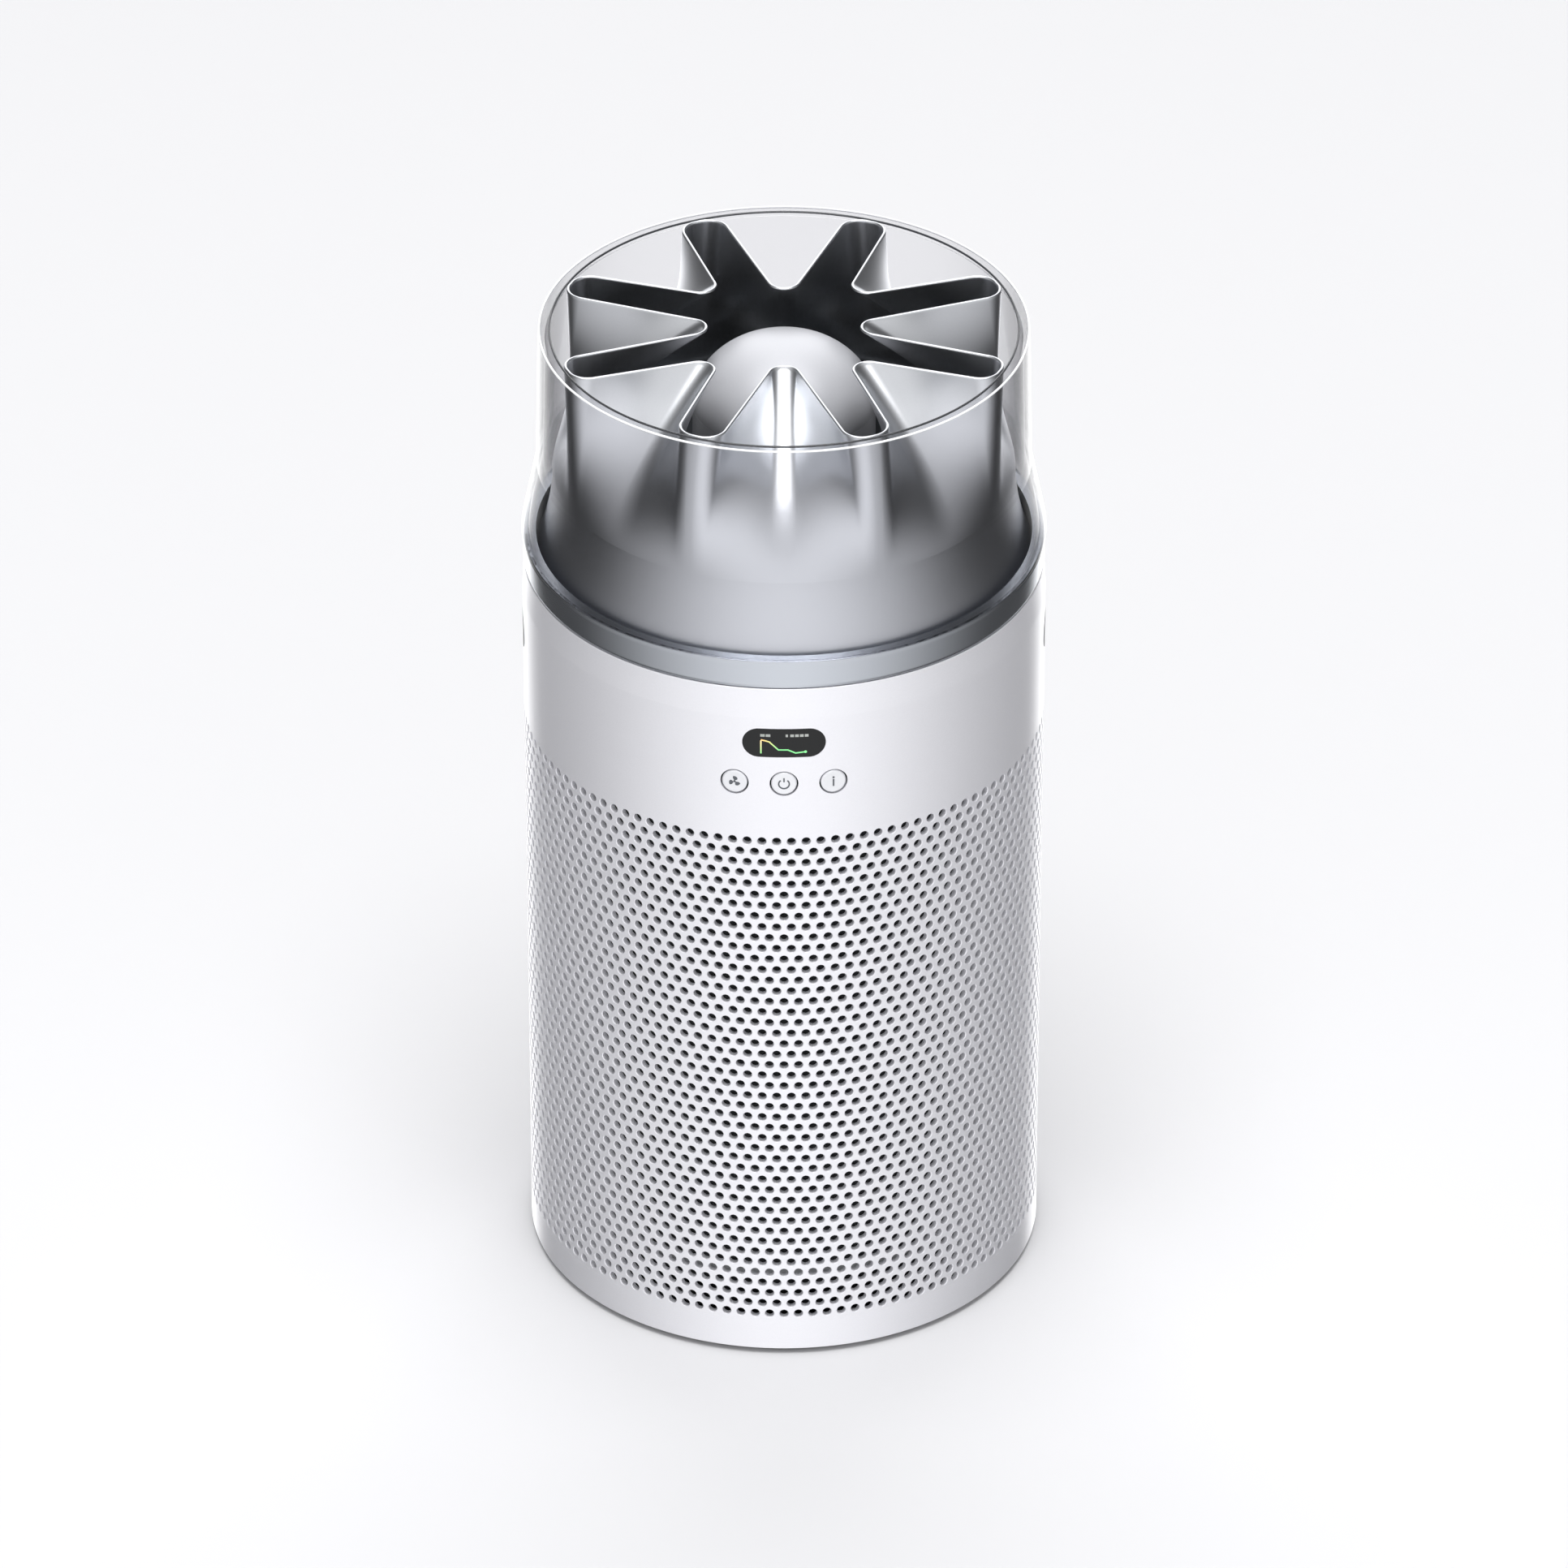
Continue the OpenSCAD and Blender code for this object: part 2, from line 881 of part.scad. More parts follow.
module motor_stator() {
    color("#7c8086")
    translate([0, 0, motor_z + 9])
        linear_extrude(height = 14)
            difference() {
                union() {
                    circle(r = 13);
                    around(9)
                        translate([0, -2])
                            square([stator_r - 2, 4]);
                    intersection() {
                        difference() {
                            circle(r = stator_r);
                            circle(r = stator_r - 2.5);
                        }
                        around(9)
                            translate([0, -7.4])
                                square([stator_r + 1, 14.8]);
                    }
                }
                circle(r = tube_r + 2.5 + running);
            }
}

module motor_windings() {
    color("#b5642a")
    around(9)
        difference() {
            translate([14.4, -3.2, motor_z + 7.4])
                cube([7.6, 6.4, 17.2]);
            translate([10, -2, motor_z + 9])
                cube([20, 4, 14]);
        }
}

module motor_bearings() {
    color("#c9cbd0")
    for (z = [motor_z + 1, motor_z + 22])
        ring(tube_r, shaft_r + running, z, z + 5);
}

module motor_board() {
    color("#1f6b3a")
    ring(30, tube_r + 4, motor_z + 3.5, motor_z + 5.1);
}

// One backward-curved blade as an arc strip
module blade(h) {
    linear_extrude(height = h)
        intersection() {
            translate([30, 24])
                difference() {
                    circle(r = 40);
                    circle(r = 38.4);
                }
            difference() {
                circle(r = impeller_r - 1);
                circle(r = 30);
            }
            translate([0, -impeller_r])
                square([impeller_r, impeller_r + 12]);
        }
}

module impeller() {
    color("#2c2e33") {
        ring(impeller_r, shaft_r, impeller_top - 2, impeller_top);
        ring(13, shaft_r, impeller_z + 4, impeller_top - 2);
        ring(impeller_r, eye_r + 4, impeller_z, impeller_z + 1.8);
        around(blade_count)
            translate([0, 0, impeller_z + 1.8])
                blade(impeller_top - impeller_z - 3.8);
    }
}

module motor_rotor() {
    color("#5c6066") {
        ring(rotor_r, rotor_r - 2, motor_z + 8, rotor_top);
        ring(rotor_r, shaft_r, rotor_top, rotor_top + 2);
    }
    color("#2c2e33")
        ring(rotor_r - 2, stator_r + 0.8, motor_z + 9, motor_z + 24);
}

module motor_shaft() {
    color("#c9cbd0")
    translate([0, 0, impeller_z])
        cylinder(r = shaft_r, h = rotor_top + 2 - impeller_z);
}

module impeller_nut() {
    color("#c9cbd0")
    ring(5, shaft_r + running, impeller_z, impeller_z + 3.9);
}

// Zigzag outline that closes on itself
module zigzag(valley_r, peak_r) {
    polygon([for (i = [0:2 * pleat_count - 1])
        let (r = i % 2 == 0 ? valley_r : peak_r, angle = 180 * i / pleat_count)
            r * [cos(angle), sin(angle)]]);
}

module filter_media() {
    depth = 3.6;
    valley_r = core_r + 2.2 + depth;
    peak_r = filter_r - 8.5;
    color("#f1f1ec")
    translate([0, 0, filter_z + base_cap_t])
        linear_extrude(height = cap_top - cap_t - filter_z - base_cap_t)
            difference() {
                zigzag(valley_r, peak_r);
                zigzag(valley_r - depth, peak_r - depth);
            }
}

module filter_core() {
    color("#e8e8e4")
    ring(core_r + 2, core_r + 0.5, filter_z + base_cap_t, cap_top - cap_t);
}

module carbon_sleeve() {
    color("#2b2b2b")
    ring(filter_r - 4.5, filter_r - 7.5, filter_z + base_cap_t, cap_top - cap_t);
}

module prefilter_sleeve() {
    color("#3a3c3f")
    ring(filter_r - 1.8, filter_r - 3.2, filter_z + base_cap_t, cap_top - cap_t);
}

module filter_base_cap() {
    color("#d5d7da")
    translate([0, 0, filter_z])
        cylinder(r = filter_r, h = base_cap_t);
}

module filter_top_cap() {
    color("#d5d7da")
    ring(filter_r, core_r, cap_top - cap_t, cap_top);
}

// Lips of both caps, which hold the ends of the sleeves
module cap_lips() {
    media_z = filter_z + base_cap_t;
    media_top = cap_top - cap_t;
    color("#d5d7da") {
        ring(filter_r, filter_r - lip_t, media_z, media_z + lip_h);
        ring(filter_r, filter_r - lip_t, media_top - lip_h, media_top);
    }
}

// Neck with the bayonet lugs that lock under the head's inlet ring
module cap_neck() {
    color("#d5d7da") {
        ring(neck_r, core_r, cap_top, cap_top + neck_h);
        intersection() {
            around(lug_count)
                slice(lug_half, neck_r + 20, cap_top + 2, cap_top + 5);
            ring(neck_r + 4.7, neck_r - 1, cap_top + 2, cap_top + 5);
        }
    }
}

module filter_rims() {
    cap_lips();
    cap_neck();
}

module filter_seal() {
    color("#202224")
    ring(neck_r - 0.5, core_r + 0.5, cap_top + neck_h, cap_top + neck_h + 1.7);
}

body_shell();
base_plate();
rubber_feet();
body_screws();
filter_platform();
power_inlet();
inlet_pins();
power_board();
board_components();
wiring_duct();
body_wires();
frame_ring();
dock_contacts();
display_lens();
display_module();
control_board();
control_bracket();
air_quality_sensor();
release_guides();
fan_button();
power_button();
info_button();
release_button_left();
release_button_right();
release_spring_left();
release_spring_right();
latch_left();
latch_right();
latch_pins();
head_plate();
head_gasket();
head_contacts();
head_screws();
collar_ring();
clear_shell();
star_nozzle();
nozzle_base();
diffuser();
motor_cover();
centre_dome();
motor_housing();
inlet_ring();
motor_plate();
motor_mounts();
motor_stator();
motor_windings();
motor_bearings();
motor_board();
impeller();
motor_rotor();
motor_shaft();
impeller_nut();
filter_media();
filter_core();
carbon_sleeve();
prefilter_sleeve();
filter_base_cap();
filter_top_cap();
filter_rims();
filter_seal();
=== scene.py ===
import json
import math

import bmesh
import bpy
import numpy as np
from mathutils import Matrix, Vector


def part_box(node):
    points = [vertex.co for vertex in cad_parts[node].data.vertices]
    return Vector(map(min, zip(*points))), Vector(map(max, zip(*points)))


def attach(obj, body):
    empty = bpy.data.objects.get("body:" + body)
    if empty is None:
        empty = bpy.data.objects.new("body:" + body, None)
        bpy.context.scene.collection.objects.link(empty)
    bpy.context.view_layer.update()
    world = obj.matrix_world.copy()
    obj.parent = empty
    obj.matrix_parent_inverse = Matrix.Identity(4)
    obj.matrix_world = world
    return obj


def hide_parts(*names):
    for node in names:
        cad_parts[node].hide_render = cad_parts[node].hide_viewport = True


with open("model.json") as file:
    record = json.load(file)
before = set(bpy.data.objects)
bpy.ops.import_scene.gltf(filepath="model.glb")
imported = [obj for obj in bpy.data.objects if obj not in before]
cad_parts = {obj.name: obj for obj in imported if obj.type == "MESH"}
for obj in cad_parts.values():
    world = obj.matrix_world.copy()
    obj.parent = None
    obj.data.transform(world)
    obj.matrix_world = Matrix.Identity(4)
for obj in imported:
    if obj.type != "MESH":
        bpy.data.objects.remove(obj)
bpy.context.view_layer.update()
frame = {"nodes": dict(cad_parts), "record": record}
mm = 0.001
scene = bpy.context.scene

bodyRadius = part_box("display_lens")[0].y * -1
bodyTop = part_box("body_shell")[1].z
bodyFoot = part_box("body_shell")[0].z
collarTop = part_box("collar_ring")[1].z
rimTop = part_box("clear_shell")[1].z

print("stage: camera")
cameraPlan = {
    "distance": 4.082,  # in front of the axis
    "height": 2.8175,
    "pitch": 32.38,  # degrees down
    "lens": 249.3,  # mm
    "frameWidth": 36,  # mm
    "farClip": 60,
}
camera = bpy.data.cameras.new("camera")
camera.lens = cameraPlan["lens"]
camera.sensor_width = cameraPlan["frameWidth"]
camera.clip_end = cameraPlan["farClip"]
cameraObject = bpy.data.objects.new("camera", camera)
cameraObject.location = (0, -cameraPlan["distance"], cameraPlan["height"])
cameraObject.rotation_euler = (math.radians(90 - cameraPlan["pitch"]), 0, 0)
scene.collection.objects.link(cameraObject)
scene.camera = cameraObject
scene.view_settings.view_transform = "Standard"


def linearColour(code, alpha=1.0):  # sRGB hex to the linear values that shaders take
    channels = [int(code[i:i + 2], 16) / 255 for i in (1, 3, 5)]
    return [c / 12.92 if c <= 0.04045 else ((c + 0.055) / 1.055) ** 2.4 for c in channels] + [alpha]


def addNode(tree, kind, settings=None, inputs=None):  # one node, its settings, and its values or links
    node = tree.nodes.new(kind)
    for name, value in (settings or {}).items():
        setattr(node, name, value)
    for key, value in (inputs or {}).items():
        socket = node.inputs[key]
        if isinstance(value, bpy.types.NodeSocket):
            tree.links.new(value, socket)
        else:
            socket.default_value = value
    return node


def shade(code, factor):  # a lighter or darker version of a hex colour, linear
    return [min(1.0, c * factor) for c in linearColour(code)[:3]] + [1.0]


def newFinish(name, settings):  # a material, its tree and its object coordinates
    material = bpy.data.materials.new(name)
    material.use_nodes = True
    tree = material.node_tree
    for key, value in settings.items():
        tree.nodes["Principled BSDF"].inputs[key].default_value = value
    return material, tree, addNode(tree, "ShaderNodeTexCoord").outputs["Object"]


def dress(tree, tone, colours, gloss, roughness, relief=None, depth=0.0):  # ties patterns to the shader
    inputs = tree.nodes["Principled BSDF"].inputs
    colour = addNode(tree, "ShaderNodeMix", {"data_type": "RGBA"},
                     {"Factor": tone, "A": colours[0], "B": colours[1]})
    shine = addNode(tree, "ShaderNodeMapRange", None,
                    {"Value": gloss, "From Min": 0.3, "From Max": 0.7,
                     "To Min": roughness[0], "To Max": roughness[1]})
    tree.links.new(colour.outputs["Result"], inputs["Base Color"])
    tree.links.new(shine.outputs["Result"], inputs["Roughness"])
    if relief is not None:
        bump = addNode(tree, "ShaderNodeBump", None,
                       {"Height": relief, "Distance": depth * mm, "Strength": 0.5})
        tree.links.new(bump.outputs["Normal"], inputs["Normal"])


# Injection-moulded ABS or nylon: an even colour with a fine spark-eroded grain and slightly uneven gloss
def mouldedPlastic(name, code, roughness, grain=0.5, depth=0.02, variety=0.06):
    material, tree, point = newFinish(name, {"IOR": 1.53})
    fine = addNode(tree, "ShaderNodeTexNoise", None,
                   {"Vector": point, "Scale": 1 / (grain * mm), "Detail": 4.0})
    broad = addNode(tree, "ShaderNodeTexNoise", None,
                    {"Vector": point, "Scale": 1 / (35 * mm), "Detail": 2.0})
    dress(tree, broad.outputs["Fac"], (shade(code, 1 - variety), shade(code, 1 + variety)),
          fine.outputs["Fac"], (roughness - 0.04, roughness + 0.06), fine.outputs["Fac"], depth)
    return material


# Metallic paint on moulded ABS: aluminium flakes in a sprayed coat give a soft wide highlight
def metallicPaint(name, code, metallic, roughness, coat=0.0, peelDepth=0.001):
    material, tree, point = newFinish(name, {
        "Metallic": metallic, "IOR": 1.5, "Coat Weight": coat, "Coat Roughness": 0.12, "Coat IOR": 1.5})
    flakes = addNode(tree, "ShaderNodeTexVoronoi", None, {"Vector": point, "Scale": 1 / (0.35 * mm)})
    parts = addNode(tree, "ShaderNodeSeparateColor", None, {"Color": flakes.outputs["Color"]})
    peel = addNode(tree, "ShaderNodeTexNoise", None,
                   {"Vector": point, "Scale": 1 / (3.2 * mm), "Detail": 2.0})
    broad = addNode(tree, "ShaderNodeTexNoise", None,
                    {"Vector": point, "Scale": 1 / (60 * mm), "Detail": 2.0})
    dress(tree, parts.outputs["Red"], (shade(code, 0.985), shade(code, 1.01)),
          broad.outputs["Fac"], (roughness - 0.015, roughness + 0.015), peel.outputs["Fac"], peelDepth)
    return material


# Machined, pressed or drawn metal: fine parallel tool marks around the axis and patchy gloss
def workedMetal(name, code, roughness, pitch=0.25, depth=0.01):
    material, tree, point = newFinish(name, {"Metallic": 1.0, "Anisotropic": 0.4})
    along = addNode(tree, "ShaderNodeMapping", None, {"Vector": point, "Scale": (0.08, 0.08, 1)})
    marks = addNode(tree, "ShaderNodeTexNoise", None,
                    {"Vector": along.outputs["Vector"], "Scale": 1 / (pitch * mm), "Detail": 3.0})
    patches = addNode(tree, "ShaderNodeTexNoise", None,
                      {"Vector": point, "Scale": 1 / (12 * mm), "Detail": 3.0})
    dress(tree, patches.outputs["Fac"], (shade(code, 0.86), shade(code, 1.08)),
          marks.outputs["Fac"], (roughness - 0.06, roughness + 0.1), marks.outputs["Fac"], depth)
    return material


# Moulded rubber: deep black, matt, with a light bloom on its surface
def softRubber(name, code):
    material, tree, point = newFinish(name, {"IOR": 1.52, "Sheen Weight": 0.15, "Sheen Roughness": 0.6})
    bloom = addNode(tree, "ShaderNodeTexNoise", None,
                    {"Vector": point, "Scale": 1 / (5 * mm), "Detail": 5.0})
    pores = addNode(tree, "ShaderNodeTexNoise", None,
                    {"Vector": point, "Scale": 1 / (0.4 * mm), "Detail": 2.0})
    dress(tree, bloom.outputs["Fac"], (shade(code, 0.8), shade(code, 1.7)),
          bloom.outputs["Fac"], (0.72, 0.9), pores.outputs["Fac"], 0.03)
    return material


# Woven or felted textile: crossing threads at the given spacing, with a soft sheen, and painted shade that
# darkens the low parts of the weave
def threadCloth(name, code, spacing, roughness=0.9):
    material, tree, point = newFinish(name, {"IOR": 1.5, "Sheen Weight": 0.3, "Sheen Roughness": 0.5})
    parts = addNode(tree, "ShaderNodeSeparateXYZ", None, {"Vector": point})
    turn = addNode(tree, "ShaderNodeMath", {"operation": "ARCTAN2"},
                   {0: parts.outputs["Y"], 1: parts.outputs["X"]})
    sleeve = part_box("prefilter_sleeve")[1].x
    threads = []
    for place, length in ((turn.outputs[0], sleeve), (parts.outputs["Z"], 1.0)):
        phase = addNode(tree, "ShaderNodeMath", {"operation": "MULTIPLY"},
                        {0: place, 1: 2 * math.pi * length / (spacing * mm)})
        threads.append(addNode(tree, "ShaderNodeMath", {"operation": "SINE"}, {0: phase.outputs[0]}))
    weave = addNode(tree, "ShaderNodeMath", {"operation": "MAXIMUM"},
                    {0: threads[0].outputs[0], 1: threads[1].outputs[0]})
    height = addNode(tree, "ShaderNodeMapRange", None,
                     {"Value": weave.outputs[0], "From Min": -1.0, "From Max": 1.0})
    fibres = addNode(tree, "ShaderNodeTexNoise", None,
                     {"Vector": point, "Scale": 1 / (0.6 * mm), "Detail": 4.0})
    # The colour follows the weave's height: the low parts are painted darker as shade and the raised threads
    # lighter.
    dress(tree, height.outputs["Result"], (shade(code, 0.45), shade(code, 1.15)),
          fibres.outputs["Fac"], (roughness - 0.08, min(1.0, roughness + 0.08)),
          height.outputs["Result"], spacing * 0.2)
    return material


# Glass-fibre board under green solder mask: darker copper tracks under a satin film
def circuitBoard(name, code):
    material, tree, point = newFinish(name, {"IOR": 1.55, "Coat Weight": 0.3, "Coat Roughness": 0.2})
    blocks = addNode(tree, "ShaderNodeTexBrick", {"offset": 0.4},
                     {"Vector": point, "Scale": 1 / (7 * mm), "Mortar Size": 0.03})
    film = addNode(tree, "ShaderNodeTexNoise", None, {"Vector": point, "Scale": 1 / (2 * mm), "Detail": 3.0})
    dress(tree, blocks.outputs["Fac"], (shade(code, 0.85), shade(code, 1.8)),
          film.outputs["Fac"], (0.3, 0.45), blocks.outputs["Fac"], 0.04)
    return material


# Clear moulded polycarbonate, faintly smoky: it mirrors more and more towards its edges
def clearPlastic(name, code, tint):
    material, tree, point = newFinish(name, {"IOR": 1.58})
    haze = addNode(tree, "ShaderNodeTexNoise", None,
                   {"Vector": point, "Scale": 1 / (25 * mm), "Detail": 2.0})
    dress(tree, haze.outputs["Fac"], (shade(code, 0.94), shade(code, 1.04)),
          haze.outputs["Fac"], (0.03, 0.06))
    tilt = addNode(tree, "ShaderNodeLayerWeight", None, {"Blend": 0.5})
    mirror = addNode(tree, "ShaderNodeMath", {"operation": "POWER"}, {0: tilt.outputs["Facing"], 1: 4.0})
    share = addNode(tree, "ShaderNodeMapRange", None,
                    {"Value": mirror.outputs[0], "From Min": 0.0, "From Max": 1.0,
                     "To Min": 0.03, "To Max": 1.0})
    through = addNode(tree, "ShaderNodeBsdfTransparent", None, {"Color": linearColour(tint)})
    mixed = addNode(tree, "ShaderNodeMixShader", None,
                    {"Fac": share.outputs["Result"], 1: through.outputs["BSDF"],
                     2: tree.nodes["Principled BSDF"].outputs["BSDF"]})
    tree.links.new(mixed.outputs["Shader"], tree.nodes["Material Output"].inputs["Surface"])
    return material


# Dark tinted acrylic with a polished face: near black, with faint polishing swirls
def tintedAcrylic(name, code):
    material, tree, point = newFinish(name, {"IOR": 1.49, "Specular IOR Level": 0.3})
    swirl = addNode(tree, "ShaderNodeTexNoise", None,
                    {"Vector": point, "Scale": 1 / (6 * mm), "Detail": 4.0})
    dress(tree, swirl.outputs["Fac"], (shade(code, 0.8), shade(code, 1.2)),
          swirl.outputs["Fac"], (0.05, 0.1))
    return material


# Lit display element: a glow that runs from one colour to another across the window
def litStroke(name, codeLow, codeHigh, low, high, strength, axis="X"):
    material, tree, point = newFinish(name, {"Roughness": 0.5, "Emission Strength": strength,
                                             "Base Color": linearColour("#101010")})
    parts = addNode(tree, "ShaderNodeSeparateXYZ", None, {"Vector": point})
    along = addNode(tree, "ShaderNodeMapRange", None,
                    {"Value": parts.outputs[axis], "From Min": low, "From Max": high})
    tone = addNode(tree, "ShaderNodeMix", {"data_type": "RGBA"},
                   {"Factor": along.outputs["Result"],
                    "A": linearColour(codeLow), "B": linearColour(codeHigh)})
    tree.links.new(tone.outputs["Result"], tree.nodes["Principled BSDF"].inputs["Emission Color"])
    return material


print("stage: finishes")
finishes = {
    "silver_paint": metallicPaint("silverPaint", "#e5e5ea", 0.35, 0.36, 0.3),
    "dark_base": mouldedPlastic("blackAbsBase", "#17181a", 0.5),
    "black_rubber": softRubber("blackRubber", "#101010"),
    "zinc_screw": workedMetal("zincPlatedSteel", "#b9bcc0", 0.32),
    "black_plastic": mouldedPlastic("blackAbs", "#1b1c1f", 0.45),
    "tinned_metal": workedMetal("nickelPlatedSteel", "#cfcac2", 0.2, 0.15),
    "circuit_board": circuitBoard("solderMaskBoard", "#12512c"),
    "board_parts": mouldedPlastic("epoxyMoulding", "#26282b", 0.4, 0.3),
    "grey_plastic": mouldedPlastic("greyAbs", "#5a5d62", 0.42),
    "red_wire": mouldedPlastic("redPvc", "#a02018", 0.35, 1.5, 0.01),
    "gold_contact": workedMetal("goldPlatedBrass", "#d9b25c", 0.18, 0.1),
    "display_glass": tintedAcrylic("tintedAcrylic", "#0c0e10"),
    "button_cap": metallicPaint("satinButtonPaint", "#dfe0e4", 0.4, 0.34),
    "release_cap": mouldedPlastic("darkGreyAbs", "#35383d", 0.35),
    "spring_steel": workedMetal("springSteel", "#a8aaae", 0.25, 0.1),
    "collar_grey": metallicPaint("polishedGreyLacquer", "#b3b7be", 0.95, 0.2, 0.0, 0.0003),
    "clear_plastic": clearPlastic("clearPolycarbonate", "#1d1e20", "#fbfbfc"),
    "nozzle_grey": metallicPaint("nozzleSilverPaint", "#cdcfd3", 1.0, 0.33, 0.0, 0.0002),
    "dome_silver": metallicPaint("domeSilverPaint", "#bfc0c5", 0.2, 0.45, 0.0),
    "cast_motor": workedMetal("castAluminium", "#b8babd", 0.42, 0.6, 0.03),
    "steel_lamination": workedMetal("siliconSteel", "#77797d", 0.38, 0.5, 0.05),
    "copper_wire": workedMetal("enamelledCopper", "#b06636", 0.28, 0.4, 0.08),
    "rotor_steel": workedMetal("pressedSteel", "#85888d", 0.34),
    "fan_plastic": mouldedPlastic("glassFilledNylon", "#222427", 0.5, 0.4),
    "filter_paper": threadCloth("filterPaper", "#e9e9e2", 0.8),
    "carbon_cloth": threadCloth("carbonCloth", "#1c1c1d", 1.2),
    "prefilter_cloth": threadCloth("prefilterNet", "#26282b", 1.6),
    "filter_cap": mouldedPlastic("lightGreyAbs", "#c4c6c8", 0.45),
}
slotOfNode = {part["node"]: part["material_slot"] for part in frame["record"]["subparts"]}
for nodeName, nodeObject in frame["nodes"].items():
    nodeObject.data.materials.clear()
    nodeObject.data.materials.append(finishes[slotOfNode[nodeName]])


def placePiece(piece, body, slotName, replaced=(), finish=None):  # what every finished piece needs
    piece.data.materials.clear()
    piece.data.materials.append(finish or finishes[slotName])
    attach(piece, body)
    if replaced:
        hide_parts(*replaced)
    return piece


def meshPiece(name, points, faces):
    mesh = bpy.data.meshes.new(name)
    mesh.from_pydata([tuple(p) for p in points], [], faces)
    mesh.update()
    piece = bpy.data.objects.new(name, mesh)
    scene.collection.objects.link(piece)
    return piece


def smoothPiece(piece, angle=35):
    piece.data.shade_smooth()
    piece.data.set_sharp_from_angle(angle=math.radians(angle))
    return piece


def lathe(name, profile, steps=256, closed=True):  # turns an (r, z) outline around the axis
    count = len(profile)
    points = []
    for i in range(steps):
        turn = 2 * math.pi * i / steps
        points += [(r * math.sin(turn), -r * math.cos(turn), z) for r, z in profile]
    faces = []
    for i in range(steps):
        j = (i + 1) % steps
        for k in range(count if closed else count - 1):
            m = (k + 1) % count
            faces.append((i * count + k, j * count + k, j * count + m, i * count + m))
    piece = meshPiece(name, points, faces)
    cleanNormals(piece)
    return piece


def cleanNormals(piece):  # merges doubles and points every face outwards
    work = bmesh.new()
    work.from_mesh(piece.data)
    bmesh.ops.remove_doubles(work, verts=work.verts, dist=1e-7)
    bmesh.ops.dissolve_degenerate(work, edges=work.edges, dist=1e-8)
    bmesh.ops.recalc_face_normals(work, faces=work.faces)
    work.to_mesh(piece.data)
    work.free()
    return piece


def rounded(profile, radii, steps=6):  # an outline with its corners rounded, each by its own radius
    result = []
    count = len(profile)
    for i, (corner, radius) in enumerate(zip(profile, radii)):
        here = np.array(corner, float)
        if radius <= 0:
            result.append(tuple(here))
            continue
        before = np.array(profile[i - 1], float) - here
        after = np.array(profile[(i + 1) % count], float) - here
        a, b = before / np.linalg.norm(before), after / np.linalg.norm(after)
        half = math.acos(max(-1, min(1, float(a @ b)))) / 2
        cut = min(radius / math.tan(half), 0.48 * np.linalg.norm(before), 0.48 * np.linalg.norm(after))
        for s in range(steps + 1):
            t = s / steps
            p = (1 - t) ** 2 * (here + a * cut) + 2 * t * (1 - t) * here + t ** 2 * (here + b * cut)
            result.append(tuple(p))
    return result


def bakeNodes(name, tree, values):  # a plain mesh piece from a Geometry Nodes tree and its inputs
    holder = bpy.data.objects.new(name, bpy.data.meshes.new(name))
    scene.collection.objects.link(holder)
    modifier = holder.modifiers.new("build", "NODES")
    modifier.node_group = tree
    for item in tree.interface.items_tree:
        if item.item_type == "SOCKET" and item.in_out == "INPUT" and item.name in values:
            modifier[item.identifier] = values[item.name]
    graph = bpy.context.evaluated_depsgraph_get()
    graph.update()
    result = bpy.data.meshes.new_from_object(holder.evaluated_get(graph))
    holder.modifiers.remove(modifier)
    holder.data = result
    result.name = name
    return holder


def newTree(name, inputs):  # an empty Geometry Nodes tree with named inputs
    tree = bpy.data.node_groups.new(name, "GeometryNodeTree")
    tree.interface.new_socket("Geometry", in_out="OUTPUT", socket_type="NodeSocketGeometry")
    for title, kind in inputs:
        tree.interface.new_socket(title, in_out="INPUT", socket_type="NodeSocket" + kind)
    start = tree.nodes.new("NodeGroupInput")
    return tree, start.outputs


def finishTree(tree, geometry, material):  # instances made real, one material, and out
    real = addNode(tree, "GeometryNodeRealizeInstances", None, {"Geometry": geometry})
    merged = addNode(tree, "GeometryNodeMergeByDistance", None,
                     {"Geometry": real.outputs["Geometry"], "Distance": 2e-6})
    painted = addNode(tree, "GeometryNodeSetMaterial", None,
                      {"Geometry": merged.outputs["Geometry"], "Material": material})
    addNode(tree, "NodeGroupOutput", None, {"Geometry": painted.outputs["Geometry"]})


print("stage: perforated skin")
skin = {
    "columns": 112,  # holes in one row around the body
    "rows": 46,
    "rowPitch": 5.559 * mm,
    "firstRow": 272.1 * mm,
    "holeRadius": 2.0 * mm,
    "chamfer": 0.25 * mm,
    "sides": 12,
    "panels": 4,
    "wall": 2.6 * mm,
}
holePitch = 2 * math.pi * bodyRadius / skin["columns"]
cornerLow = (skin["rowPitch"] ** 2 - holePitch ** 2 / 4) / (2 * skin["rowPitch"])
cornerHigh = skin["rowPitch"] - cornerLow


